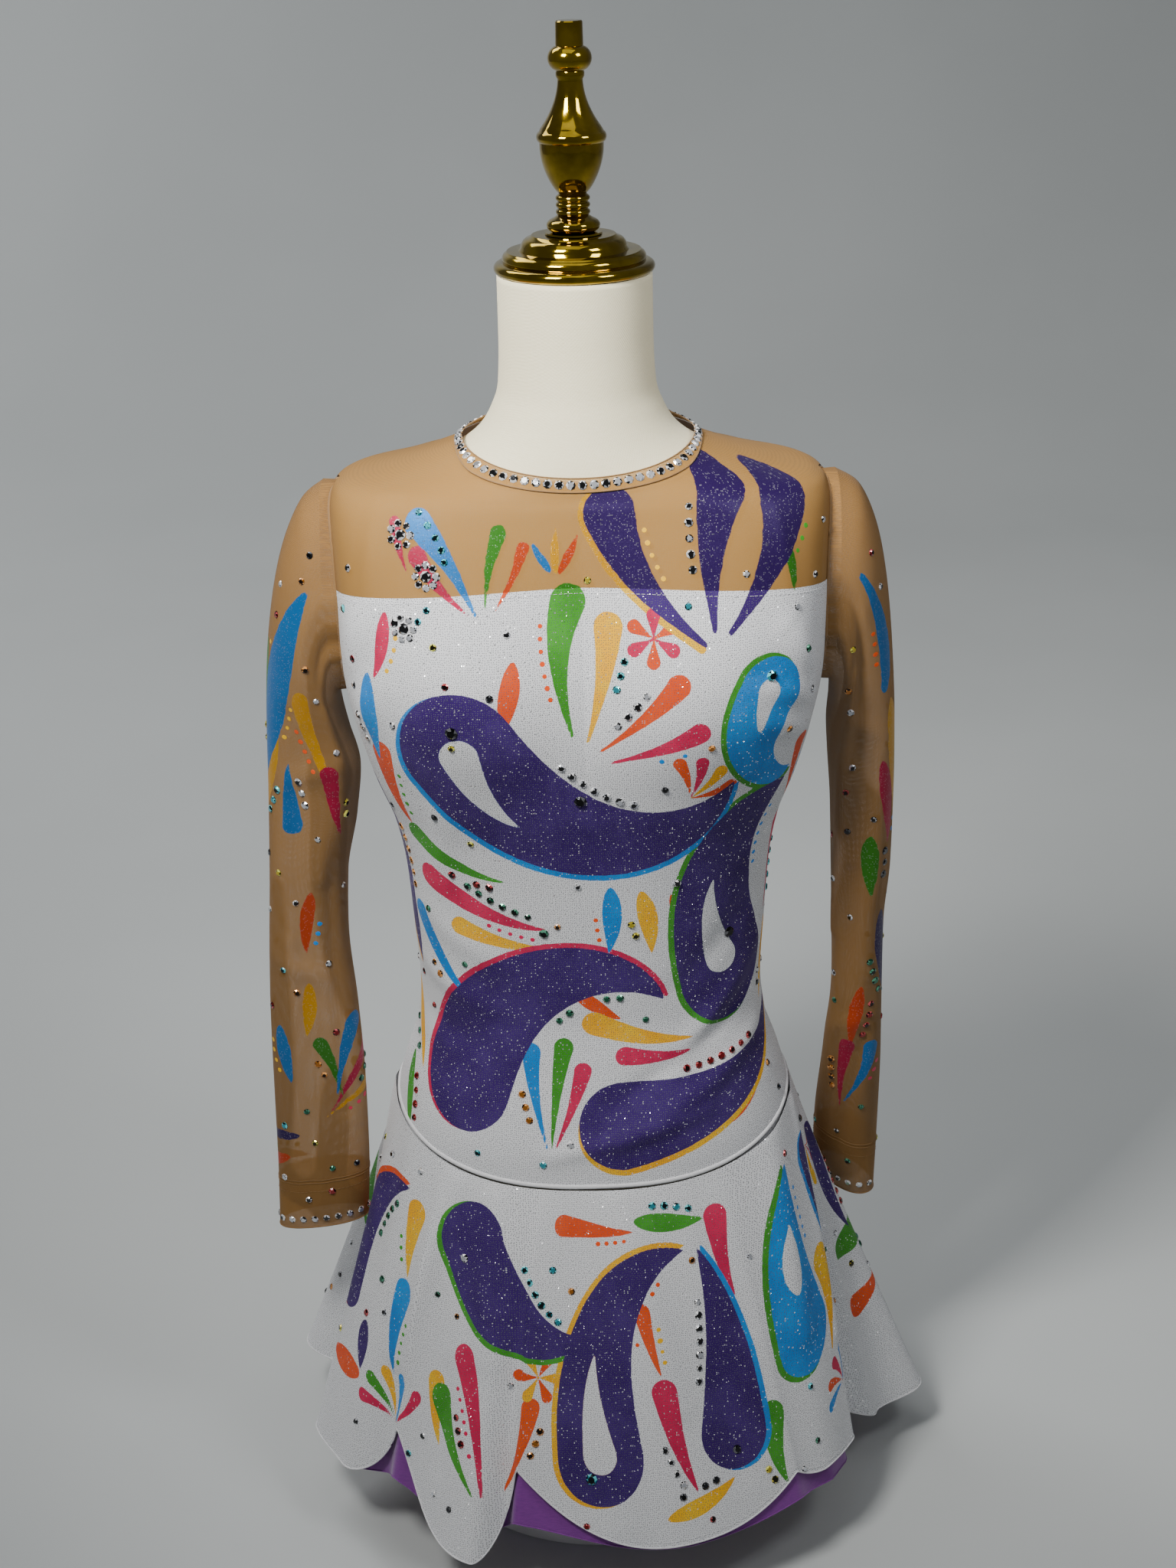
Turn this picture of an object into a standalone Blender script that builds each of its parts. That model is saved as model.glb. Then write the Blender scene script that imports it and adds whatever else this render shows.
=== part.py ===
"""A long-sleeved figure skating dress on a limbless dress form with a gold cap and finial.

Metres, +Z up. The front faces -Y, and the wearer's right sleeve hangs at -X.
The origin is the middle of the underside of the base.
"""

import math
from collections import namedtuple

import bpy
from mathutils import Vector

# Driving sizes of the cloth
WALL = 0.0012            # dress cloth
THIN_WALL = 0.0010       # underskirt and brief
FORM_GAP = 0.0030        # from the form to the inside of the cloth
SEAM_GAP = 0.0003        # between two pieces at a seam
CLOTH_OUT = FORM_GAP + WALL
BRIEF_OUT = 0.0026
PIPING_RADIUS = 0.0018
PIPING_OUT = 0.0036
SKIRT_OUT = 0.0056
BAND_GAP = 0.0008

# Driving sizes of the form
BASE_RADIUS = 0.129
BASE_HEIGHT = 0.026
BASE_EDGE = 0.006
FORM_COLUMNS = 32
TURNED_STEPS = 20

# Sections of the torso and neck, from the base up
BodyRing = namedtuple("BodyRing", "height half_width front back squareness")
BODY = [
    BodyRing(0.0264, 0.1160, 0.0880, 0.0900, 2.2),
    BodyRing(0.0900, 0.1320, 0.0965, 0.1030, 2.2),
    BodyRing(0.1700, 0.1405, 0.1025, 0.1110, 2.3),
    BodyRing(0.2500, 0.1415, 0.1045, 0.1120, 2.3),
    BodyRing(0.2950, 0.1372, 0.1015, 0.1050, 2.3),
    BodyRing(0.3300, 0.1285, 0.0945, 0.0945, 2.3),
    BodyRing(0.3650, 0.1175, 0.0865, 0.0830, 2.3),
    BodyRing(0.4000, 0.1143, 0.0820, 0.0770, 2.3),
    BodyRing(0.4400, 0.1163, 0.0830, 0.0790, 2.4),
    BodyRing(0.4900, 0.1195, 0.0870, 0.0860, 2.5),
    BodyRing(0.5250, 0.1255, 0.0915, 0.0920, 2.6),
    BodyRing(0.5600, 0.1372, 0.0965, 0.0955, 2.8),
    BodyRing(0.5950, 0.1460, 0.0985, 0.0975, 3.1),
    BodyRing(0.6350, 0.1525, 0.0970, 0.0980, 3.5),
    BodyRing(0.6850, 0.1545, 0.0895, 0.0955, 3.8),
    BodyRing(0.7200, 0.1560, 0.0815, 0.0885, 3.6),
    BodyRing(0.7370, 0.1565, 0.0765, 0.0830, 3.2),
    BodyRing(0.7470, 0.1548, 0.0735, 0.0785, 2.8),
    BodyRing(0.7515, 0.1490, 0.0715, 0.0765, 2.6),
    BodyRing(0.7568, 0.1265, 0.0696, 0.0738, 2.3),
    BodyRing(0.7645, 0.0985, 0.0670, 0.0700, 2.0),
    BodyRing(0.7730, 0.0770, 0.0640, 0.0665, 2.0),
    BodyRing(0.7840, 0.0630, 0.0597, 0.0615, 2.0),
    BodyRing(0.7970, 0.0550, 0.0553, 0.0570, 2.0),
    BodyRing(0.8120, 0.0502, 0.0515, 0.0530, 2.0),
    BodyRing(0.8400, 0.0488, 0.0490, 0.0500, 2.0),
    BodyRing(0.8802, 0.0486, 0.0486, 0.0486, 2.0),
]
BUST_HEIGHT = 0.628
BUST_APART = 0.076       # from the middle to each apex
BUST_RISE = 0.0165
BUST_WIDTH = 0.048
BUST_ABOVE = 0.058
BUST_BELOW = 0.040

# Edges of the dress, as heights at the front, side and back
Edge = namedtuple("Edge", "front side back")
BAND_TOP = Edge(0.7655, 0.7760, 0.7860)
BAND_BOTTOM = Edge(0.7575, 0.7732, 0.7770)
CHEST_SEAM = Edge(0.7025, 0.6890, 0.7030)
HIP_SEAM = Edge(0.2840, 0.3120, 0.2880)
HIP_SEAM_TURN = 3.0      # how late the seam rises towards the side
BRIEF_LEG = Edge(0.1350, 0.2450, 0.1300)

# The armhole, an ellipse seen from the side
ARMHOLE_MIDDLE = (0.003, 0.6795)
ARMHOLE_HALF_DEPTH = 0.050
ARMHOLE_HALF_HEIGHT = 0.070
CUTTER_FROM = 0.105
CUTTER_TO = 0.260

# Loose cloth at the top corners of the bodice; side is -1 or 1
Puff = namedtuple("Puff", "side azimuth height rise reach_azimuth reach_height")
PUFFS = [
    Puff(-1, 50.0, 0.668, 0.0040, 9.0, 0.016),
    Puff(-1, 54.0, 0.618, 0.0030, 9.0, 0.014),
    Puff(1, 50.0, 0.662, 0.0045, 9.0, 0.015),
    Puff(1, 53.0, 0.626, 0.0045, 9.0, 0.011),
    Puff(1, 54.0, 0.592, 0.0030, 10.0, 0.012),
]

# The hanging sleeves, ring by ring from the armhole: outer and inner edge, and half the depth
SleeveRing = namedtuple(
    "SleeveRing", "outer_x outer_y outer_z inner_x inner_y inner_z half_depth"
)
RIGHT_SLEEVE = [
    SleeveRing(0.1660, 0.003, 0.7495, 0.1625, 0.003, 0.6095, 0.0500),
    SleeveRing(0.1785, 0.003, 0.7400, 0.1635, 0.003, 0.6050, 0.0495),
    SleeveRing(0.1930, 0.003, 0.7120, 0.1635, 0.003, 0.5980, 0.0480),
    SleeveRing(0.2030, 0.002, 0.6740, 0.1615, 0.002, 0.5890, 0.0450),
    SleeveRing(0.2095, 0.001, 0.6300, 0.1575, 0.001, 0.5750, 0.0400),
    SleeveRing(0.2130, 0.000, 0.5850, 0.1520, 0.000, 0.5530, 0.0350),
    SleeveRing(0.2155, 0.000, 0.5350, 0.1560, 0.000, 0.5200, 0.0300),
    SleeveRing(0.2190, 0.000, 0.4750, 0.1650, 0.000, 0.4750, 0.0260),
    SleeveRing(0.2225, -0.002, 0.4250, 0.1670, -0.002, 0.4290, 0.0240),
    SleeveRing(0.2255, -0.004, 0.3700, 0.1635, -0.004, 0.3750, 0.0220),
    SleeveRing(0.2270, -0.006, 0.3100, 0.1615, -0.006, 0.3150, 0.0200),
    SleeveRing(0.2280, -0.008, 0.2550, 0.1620, -0.008, 0.2610, 0.0175),
    SleeveRing(0.2300, -0.010, 0.2010, 0.1650, -0.010, 0.2090, 0.0150),
]
LEFT_SLEEVE = [
    SleeveRing(0.1660, 0.003, 0.7495, 0.1625, 0.003, 0.6095, 0.0500),
    SleeveRing(0.1800, 0.003, 0.7410, 0.1640, 0.003, 0.6050, 0.0490),
    SleeveRing(0.1915, 0.003, 0.7180, 0.1645, 0.003, 0.5980, 0.0470),
    SleeveRing(0.1990, 0.003, 0.6840, 0.1640, 0.003, 0.5900, 0.0430),
    SleeveRing(0.2045, 0.003, 0.6350, 0.1625, 0.003, 0.5750, 0.0380),
    SleeveRing(0.2080, 0.004, 0.5800, 0.1635, 0.004, 0.5550, 0.0330),
    SleeveRing(0.2090, 0.005, 0.5300, 0.1660, 0.005, 0.5200, 0.0290),
    SleeveRing(0.2085, 0.006, 0.4750, 0.1675, 0.006, 0.4750, 0.0250),
    SleeveRing(0.2055, 0.008, 0.4250, 0.1690, 0.010, 0.4300, 0.0230),
    SleeveRing(0.2060, 0.010, 0.3700, 0.1705, 0.016, 0.3750, 0.0210),
    SleeveRing(0.2065, 0.016, 0.3150, 0.1685, 0.032, 0.3200, 0.0190),
    SleeveRing(0.2050, 0.028, 0.2480, 0.1690, 0.062, 0.2550, 0.0175),
    SleeveRing(0.2040, 0.040, 0.1830, 0.1715, 0.088, 0.1900, 0.0160),
]
SLEEVE_COLUMNS = 16
SLEEVE_RINGS = 20
SLEEVE_ROUNDNESS = 2.2

# Dents and swells of the hanging sleeves; turn is 0 at the outer edge and 90 at the front
SleeveFold = namedtuple("SleeveFold", "turn height depth reach_turn reach_height")
RIGHT_FOLDS = [
    SleeveFold(75.0, 0.560, 0.0060, 26.0, 0.045),
    SleeveFold(120.0, 0.500, -0.0040, 24.0, 0.040),
    SleeveFold(95.0, 0.430, 0.0050, 24.0, 0.050),
    SleeveFold(70.0, 0.310, 0.0030, 26.0, 0.060),
    SleeveFold(270.0, 0.520, 0.0060, 28.0, 0.050),
    SleeveFold(285.0, 0.350, 0.0040, 26.0, 0.070),
]
LEFT_FOLDS = [
    SleeveFold(85.0, 0.585, 0.0070, 26.0, 0.050),
    SleeveFold(120.0, 0.480, 0.0050, 24.0, 0.070),
    SleeveFold(75.0, 0.380, 0.0050, 24.0, 0.060),
    SleeveFold(275.0, 0.540, 0.0060, 28.0, 0.050),
    SleeveFold(260.0, 0.390, 0.0040, 26.0, 0.060),
]

# The hem, round from the back: notch is a cut cusp, tip the low middle of a scallop,
# fold an inner or outer turn of the cloth; seam_azimuth is where that line leaves the hip seam
HemMark = namedtuple("HemMark", "azimuth radius height kind seam_azimuth")
HEM = [
    HemMark(-180.0, 0.2260, 0.050, "tip", -180.0),
    HemMark(-160.0, 0.1930, 0.094, "notch", -160.0),
    HemMark(-140.0, 0.2350, 0.052, "tip", -140.0),
    HemMark(-121.0, 0.2060, 0.088, "notch", -121.0),
    HemMark(-105.0, 0.2340, 0.052, "tip", -108.0),
    HemMark(-86.0, 0.1720, 0.062, "fold", -92.0),
    HemMark(-73.0, 0.2170, 0.059, "tip", -80.0),
    HemMark(-61.0, 0.2120, 0.057, "tip", -66.0),
    HemMark(-48.5, 0.1900, 0.104, "notch", -51.0),
    HemMark(-25.0, 0.2170, 0.045, "tip", -29.0),
    HemMark(-18.5, 0.1840, 0.105, "notch", -19.0),
    HemMark(16.0, 0.2050, 0.057, "tip", 14.0),
    HemMark(41.5, 0.2040, 0.081, "notch", 43.0),
    HemMark(50.0, 0.2090, 0.071, "tip", 58.0),
    HemMark(60.0, 0.2070, 0.068, "fold", 74.0),
    HemMark(71.0, 0.1700, 0.060, "fold", 83.0),
    HemMark(79.0, 0.2080, 0.042, "tip", 88.0),
    HemMark(90.0, 0.2430, 0.041, "tip", 95.0),
    HemMark(111.0, 0.2060, 0.084, "notch", 112.0),
    HemMark(135.0, 0.2320, 0.052, "tip", 135.0),
    HemMark(158.0, 0.1930, 0.092, "notch", 158.0),
    HemMark(180.0, 0.2260, 0.050, "tip", 180.0),
]
SCALLOP_POWER = 2.6      # how flat the bottom of a scallop is
HEM_COLUMN_DEGREES = 3.6
SKIRT_MEAN_RADIUS = 0.205
SKIRT_FLUTE_POWER = 1.25
SKIRT_ROWS = [0.0, 0.20, 0.45, 0.72, 1.0]
UNDER_ROWS = [0.22, 0.60, 1.0]
UNDER_IN = 0.0026        # from the skirt's face to the underskirt's face
UNDER_SPREAD_DEGREES = 3.0
UNDER_HEM_LOW = 0.0520
UNDER_HEM_FOLLOW = 0.30  # how far the underskirt's hem follows the scallops

# The closure at the centre back
ZIP_HALF_WIDTH = 0.0080
ZIP_BOTTOM = 0.455
ZIP_TOP_BELOW_BAND = 0.002
ZIP_LIFT = 0.0008

# Colour, roughness and metallic value of each finish
Finish = namedtuple("Finish", "red green blue roughness metallic")
FINISHES = {
    "white_glitter_cloth": Finish(0.80, 0.81, 0.84, 0.55, 0.0),
    "nude_mesh": Finish(0.42, 0.25, 0.12, 0.75, 0.0),
    "violet_cloth": Finish(0.18, 0.03, 0.28, 0.6, 0.0),
    "white_piping": Finish(0.85, 0.86, 0.88, 0.5, 0.0),
    "zip_tape": Finish(0.70, 0.62, 0.52, 0.7, 0.0),
    "ivory_linen": Finish(0.73, 0.69, 0.58, 0.85, 0.0),
    "polished_gold": Finish(0.75, 0.55, 0.18, 0.12, 1.0),
    "white_plastic": Finish(0.82, 0.83, 0.84, 0.3, 0.0),
}


def start_empty():
    for item in list(bpy.data.objects):
        bpy.data.objects.remove(item, do_unlink=True)


def new_collection(name):
    collection = bpy.data.collections.new(name)
    bpy.context.scene.collection.children.link(collection)
    return collection


def make_material(name):
    finish = FINISHES[name]
    material = bpy.data.materials.new(name)
    material.use_nodes = True
    shader = material.node_tree.nodes["Principled BSDF"]
    shader.inputs["Base Color"].default_value = (finish.red, finish.green, finish.blue, 1.0)
    shader.inputs["Roughness"].default_value = finish.roughness
    shader.inputs["Metallic"].default_value = finish.metallic
    return material


def mesh_object(name, points, faces, material, collection):
    mesh = bpy.data.meshes.new(name)
    mesh.from_pydata(points, [], faces)
    mesh.update()
    mesh.shade_smooth()
    if material:
        mesh.materials.append(material)
    item = bpy.data.objects.new(name, mesh)
    collection.objects.link(item)
    return item


def mix(low, high, share):
    return low + (high - low) * share


def bell(distance, reach):
    return math.exp(-0.5 * (distance / reach) ** 2)


def smooth(values, place):
    """A curve through the values that never swings past them; place counts the rows."""
    last = len(values) - 1
    place = min(max(place, 0.0), float(last))
    row = min(int(place), last - 1)
    steps = [values[i + 1] - values[i] for i in range(last)]

    def slope(i):
        if i == 0 or i == last:
            return steps[min(i, last - 1)]
        before, after = steps[i - 1], steps[i]
        return 2 * before * after / (before + after) if before * after > 0 else 0.0

    t = place - row
    return (
        values[row] * (2 * t**3 - 3 * t**2 + 1)
        + slope(row) * (t**3 - 2 * t**2 + t)
        + values[row + 1] * (3 * t**2 - 2 * t**3)
        + slope(row + 1) * (t**3 - t**2)
    )


def smooth_row(table, place):
    return type(table[0])(*(smooth(list(column), place) for column in zip(*table)))


def place_at(height):
    """The place in the body's table where the body has this height."""
    heights = [ring.height for ring in BODY]
    low, high = 0.0, len(BODY) - 1.0
    for _ in range(30):
        middle = (low + high) / 2
        if smooth(heights, middle) < height:
            low = middle
        else:
            high = middle
    return (low + high) / 2


def bust_rise(x, height):
    reach = BUST_ABOVE if height > BUST_HEIGHT else BUST_BELOW
    return BUST_RISE * bell(abs(x) - BUST_APART, BUST_WIDTH) * bell(height - BUST_HEIGHT, reach)


def body_surface(azimuth, place):
    """A point of the bare form; azimuth 0 is the front and 90 degrees is at +X."""
    ring = smooth_row(BODY, place)
    sine, cosine = math.sin(azimuth), math.cos(azimuth)
    power = ring.squareness
    reach = (abs(sine) ** power + abs(cosine) ** power) ** (-1 / power)
    x = ring.half_width * reach * sine
    depth = ring.front if cosine > 0 else ring.back
    y = -depth * reach * cosine
    if cosine > 0:
        y -= bust_rise(x, ring.height) * min(1.0, 1.6 * cosine)
    return Vector((x, y, ring.height))


def body_point(azimuth, place, out=0.0):
    """A point that lies out from the form along its normal."""
    point = body_surface(azimuth, place)
    if out == 0.0:
        return point
    turn, climb = 0.01, 0.02
    place = min(max(place, climb), len(BODY) - 1.0 - climb)
    across = body_surface(azimuth + turn, place) - body_surface(azimuth - turn, place)
    up = body_surface(azimuth, place + climb) - body_surface(azimuth, place - climb)
    return point + across.cross(up).normalized() * out


def edge_height(edge, azimuth, turn=2.0):
    middle = edge.front if math.cos(azimuth) > 0 else edge.back
    return mix(middle, edge.side, abs(math.sin(azimuth)) ** turn)


def hip_seam_height(azimuth):
    return edge_height(HIP_SEAM, azimuth, HIP_SEAM_TURN)


def puff_rise(azimuth, height):
    degrees = math.degrees(azimuth)
    return sum(
        puff.rise
        * bell(degrees - puff.side * puff.azimuth, puff.reach_azimuth)
        * bell(height - puff.height, puff.reach_height)
        for puff in PUFFS
    )


def cloth_grid(name, columns, rows, point, material, collection, closed=False, wall=WALL):
    """An open sheet of columns by rows points, given its wall by Solidify, inwards."""
    points = [point(c, r) for r in range(rows) for c in range(columns)]
    round_it = columns if closed else columns - 1
    faces = []
    for r in range(rows - 1):
        for c in range(round_it):
            after = (c + 1) % columns
            low, high = r * columns, (r + 1) * columns
            faces.append((low + c, low + after, high + after, high + c))
    item = mesh_object(name, points, faces, material, collection)
    solid = item.modifiers.new("wall", "SOLIDIFY")
    solid.thickness = wall
    solid.offset = -1.0
    solid.use_even_offset = True
    return item


def body_panel(name, turn, columns, rows, low, high, out, material, collection, wall=WALL,
               closed=False, loose=None):
    """A panel that lies on the form between two heights, low and high, for each azimuth."""
    first, last = turn
    azimuths = [
        mix(first, last, c / (columns if closed else columns - 1)) for c in range(columns)
    ]
    spans = [(place_at(low(azimuth)), place_at(high(azimuth))) for azimuth in azimuths]

    def point(c, r):
        place = mix(*spans[c], r / (rows - 1))
        rise = 0.0
        if loose:
            rise = loose(azimuths[c], smooth([ring.height for ring in BODY], place))
        return body_point(azimuths[c], place, out + rise)

    return cloth_grid(name, columns, rows, point, material, collection, closed, wall)


def turned(name, profile, material, collection, steps=TURNED_STEPS):
    """A profile of radius and height, top to bottom, turned round the Z axis."""
    points = [(radius, 0.0, height) for radius, height in profile]
    mesh = bpy.data.meshes.new(name)
    mesh.from_pydata(points, [(i, i + 1) for i in range(len(points) - 1)], [])
    mesh.materials.append(material)
    item = bpy.data.objects.new(name, mesh)
    collection.objects.link(item)
    screw = item.modifiers.new("turn", "SCREW")
    screw.steps = steps
    screw.render_steps = steps
    screw.use_merge_vertices = True
    screw.merge_threshold = 0.00005
    screw.use_smooth_shade = True
    return item


def ring_arc(radius, height, half_width, half_height, first, last, count):
    """Points of an oval bead on a turned profile, from the first angle to the last, in degrees."""
    points = []
    for i in range(count):
        angle = math.radians(mix(first, last, i / (count - 1)))
        points.append((radius + half_width * math.cos(angle), height + half_height * math.sin(angle)))
    return points


def armhole_cutter(side, collection):
    """An oval bar along X that opens the armhole."""
    middle_y, middle_z = ARMHOLE_MIDDLE
    bpy.ops.mesh.primitive_cylinder_add(
        vertices=40, radius=1.0, depth=CUTTER_TO - CUTTER_FROM,
        location=(side * (CUTTER_FROM + CUTTER_TO) / 2, middle_y, middle_z),
        rotation=(0.0, math.radians(90), 0.0),
    )
    cutter = bpy.context.object
    cutter.name = "armhole_cutter_left" if side > 0 else "armhole_cutter_right"
    cutter.scale = (ARMHOLE_HALF_HEIGHT + SEAM_GAP, ARMHOLE_HALF_DEPTH + SEAM_GAP, 1.0)
    for old in list(cutter.users_collection):
        old.objects.unlink(cutter)
    collection.objects.link(cutter)
    cutter.hide_render = True
    cutter.display_type = "WIRE"
    return cutter


def open_armholes(item, cutters):
    for cutter in cutters:
        cut = item.modifiers.new("armhole", "BOOLEAN")
        cut.operation = "DIFFERENCE"
        cut.solver = "EXACT"
        cut.object = cutter


def side_reach(y, height, out):
    """How far out to the side the cloth lies at this depth and height."""
    place = place_at(height)
    low, high = math.radians(5), math.radians(175)
    for _ in range(30):
        middle = (low + high) / 2
        if body_point(middle, place, out).y < y:
            low = middle
        else:
            high = middle
    return body_point((low + high) / 2, place, out).x


def sleeve_ring_point(ring, axis, turn):
    """A point of a flattened round; turn 0 is its outer edge and 90 degrees its front."""
    outer = Vector((ring.outer_x, ring.outer_y, ring.outer_z))
    inner = Vector((ring.inner_x, ring.inner_y, ring.inner_z))
    middle = (outer + inner) / 2
    half = (outer - inner) / 2
    back = half.cross(axis).normalized()
    sine, cosine = math.sin(turn), math.cos(turn)
    power = SLEEVE_ROUNDNESS
    reach = (abs(sine) ** power + abs(cosine) ** power) ** (-1 / power)
    return middle + half * (reach * cosine) - back * (ring.half_depth * reach * sine)


def fold_depth(folds, turn, height):
    degrees = math.degrees(turn) % 360
    total = 0.0
    for fold in folds:
        away = (degrees - fold.turn + 180) % 360 - 180
        total += fold.depth * bell(away, fold.reach_turn) * bell(height - fold.height, fold.reach_height)
    return total


def sleeve_points(table, folds):
    """The rings of a sleeve on the +X side: the first lies in the armhole."""
    turns = [2 * math.pi * c / SLEEVE_COLUMNS for c in range(SLEEVE_COLUMNS)]
    middle_y, middle_z = ARMHOLE_MIDDLE
    start = []
    for turn in turns:
        y = middle_y - ARMHOLE_HALF_DEPTH * math.sin(turn)
        z = middle_z + ARMHOLE_HALF_HEIGHT * math.cos(turn)
        start.append(Vector((side_reach(y, z, FORM_GAP + SEAM_GAP), y, z)))
    rings = [start]
    for i in range(SLEEVE_RINGS):
        place = (len(table) - 1) * i / (SLEEVE_RINGS - 1)
        ring = smooth_row(table, place)
        before = smooth_row(table, place - 0.1)
        after = smooth_row(table, place + 0.1)
        axis = Vector((
            after.outer_x + after.inner_x - before.outer_x - before.inner_x,
            0.0,
            after.outer_z + after.inner_z - before.outer_z - before.inner_z,
        )).normalized()
        points = []
        for turn in turns:
            point = sleeve_ring_point(ring, axis, turn)
            middle = Vector((
                (ring.outer_x + ring.inner_x) / 2,
                (ring.outer_y + ring.inner_y) / 2,
                (ring.outer_z + ring.inner_z) / 2,
            ))
            inwards = (middle - point).normalized()
            points.append(point + inwards * fold_depth(folds, turn, point.z))
        rings.append(points)
    return rings


def make_sleeve(name, side, table, folds, material, collection):
    rings = sleeve_points(table, folds)
    rings.reverse()

    def point(c, r):
        column = -c % SLEEVE_COLUMNS if side > 0 else c
        place = rings[r][column]
        return Vector((side * place.x, place.y, place.z))

    return cloth_grid(name, SLEEVE_COLUMNS, len(rings), point, material, collection, closed=True)


def hem_at(azimuth_degrees):
    """Radius and height of the skirt's hem at an azimuth."""
    azimuth_degrees = (azimuth_degrees + 180.0) % 360.0 - 180.0
    for before, after in zip(HEM, HEM[1:]):
        if before.azimuth <= azimuth_degrees <= after.azimuth:
            share = (azimuth_degrees - before.azimuth) / (after.azimuth - before.azimuth)
            eased = (1 - math.cos(math.pi * share)) / 2
            radius = mix(before.radius, after.radius, eased)
            if before.kind == "notch":
                eased = 1 - (1 - share) ** SCALLOP_POWER
            elif after.kind == "notch":
                eased = share**SCALLOP_POWER
            return radius, mix(before.height, after.height, eased)
    return HEM[0].radius, HEM[0].height


def hem_columns():
    """Pairs of azimuths, at the hem and at the seam, with a column at each mark of the hem."""
    columns = []
    for before, after in zip(HEM, HEM[1:]):
        count = math.ceil((after.azimuth - before.azimuth) / HEM_COLUMN_DEGREES)
        for i in range(count):
            share = i / count
            columns.append((
                mix(before.azimuth, after.azimuth, share),
                mix(before.seam_azimuth, after.seam_azimuth, share),
            ))
    return columns


def seam_point(azimuth_degrees, drop, out):
    """The point of the hip seam that is seen at this azimuth from the form's middle."""
    wanted = math.radians(azimuth_degrees)
    low, high = wanted - math.radians(25), wanted + math.radians(25)
    for _ in range(30):
        middle = (low + high) / 2
        point = body_surface(middle, place_at(hip_seam_height(middle)))
        seen = math.atan2(point.x, -point.y)
        away = (seen - wanted + math.pi) % (2 * math.pi) - math.pi
        if away < 0:
            low = middle
        else:
            high = middle
    place = place_at(hip_seam_height((low + high) / 2) - drop)
    return body_point((low + high) / 2, place, out)


def skirt_point(column, start, share, inset=0.0, spread=0.0):
    """A point down the skirt: share 0 at the hip seam, 1 at the hem."""
    hem_azimuth, seam_azimuth = column
    azimuth = math.radians(mix(seam_azimuth, hem_azimuth, share))
    hem_height = hem_at(hem_azimuth)[1]
    hem_radius = min(hem_at(hem_azimuth + side * spread)[0] for side in (-1, 0, 1))
    top_radius = math.hypot(start.x, start.y)
    radius = mix(top_radius, SKIRT_MEAN_RADIUS, share)
    radius += (hem_radius - SKIRT_MEAN_RADIUS) * share**SKIRT_FLUTE_POWER - inset
    return Vector((
        radius * math.sin(azimuth),
        -radius * math.cos(azimuth),
        mix(start.z, hem_height, share),
    ))


def skirt_starts(columns):
    drop = PIPING_RADIUS + SEAM_GAP
    return [seam_point(seam_azimuth, drop, SKIRT_OUT) for _, seam_azimuth in columns]


def make_skirt(material, collection):
    columns = hem_columns()
    starts = skirt_starts(columns)
    shares = list(reversed(SKIRT_ROWS))

    def point(c, r):
        return skirt_point(columns[c], starts[c], shares[r])

    return cloth_grid("skirt", len(columns), len(shares), point, material, collection, closed=True)


def make_underskirt(material, collection):
    columns = hem_columns()
    starts = skirt_starts(columns)
    shares = list(reversed(UNDER_ROWS))

    def point(c, r):
        hem_height = hem_at(columns[c][0])[1]
        wanted = UNDER_HEM_LOW + UNDER_HEM_FOLLOW * (hem_height - HEM[0].height)
        full = (starts[c].z - wanted) / (starts[c].z - hem_height)
        return skirt_point(columns[c], starts[c], shares[r] * full, UNDER_IN, UNDER_SPREAD_DEGREES)

    return cloth_grid("underskirt", len(columns), len(shares), point, material, collection,
                      closed=True, wall=THIN_WALL)


def make_piping(material, collection):
    """A round cord in the hip seam."""
    count = 60
    curve = bpy.data.curves.new("piping", "CURVE")
    curve.dimensions = "3D"
    curve.bevel_depth = PIPING_RADIUS
    curve.bevel_resolution = 1
    spline = curve.splines.new("POLY")
    spline.points.add(count - 1)
    for i in range(count):
        azimuth = 2 * math.pi * i / count
        place = place_at(hip_seam_height(azimuth))
        spline.points[i].co = (*body_point(azimuth, place, PIPING_OUT), 1.0)
    spline.use_cyclic_u = True
    curve.materials.append(material)
    item = bpy.data.objects.new("piping", curve)
    collection.objects.link(item)
    return item


def make_zip(material, collection):
    """The closed zip, a strip down the centre back."""
    top = BAND_BOTTOM.back - ZIP_TOP_BELOW_BAND
    rows, columns = 14, 3

    def point(c, r):
        place = mix(place_at(ZIP_BOTTOM), place_at(top), r / (rows - 1))
        half = math.asin(ZIP_HALF_WIDTH / smooth([ring.half_width for ring in BODY], place))
        azimuth = math.pi + half * (c - 1)
        return body_point(azimuth, place, CLOTH_OUT + ZIP_LIFT + THIN_WALL)

    return cloth_grid("back_zip", columns, rows, point, material, collection, wall=THIN_WALL)


def make_form_body(material, collection):
    """The linen torso and neck: a loft through its sections, closed at both ends."""
    places = [float(i) for i in range(len(BODY))]
    points = [
        body_surface(2 * math.pi * c / FORM_COLUMNS, place)
        for place in places
        for c in range(FORM_COLUMNS)
    ]
    faces = []
    for r in range(len(places) - 1):
        for c in range(FORM_COLUMNS):
            after = (c + 1) % FORM_COLUMNS
            low, high = r * FORM_COLUMNS, (r + 1) * FORM_COLUMNS
            faces.append((low + c, low + after, high + after, high + c))
    top = (len(places) - 1) * FORM_COLUMNS
    faces.append(tuple(reversed(range(FORM_COLUMNS))))
    faces.append(tuple(range(top, top + FORM_COLUMNS)))
    return mesh_object("form_body", points, faces, material, collection)


def make_form_base(material, collection):
    profile = [(0.0, BASE_HEIGHT)]
    profile += ring_arc(BASE_RADIUS - BASE_EDGE, BASE_HEIGHT - BASE_EDGE, BASE_EDGE, BASE_EDGE, 90, 0, 5)
    profile += [(BASE_RADIUS, 0.0), (0.0, 0.0)]
    return turned("form_base", profile, material, collection, steps=40)


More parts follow.
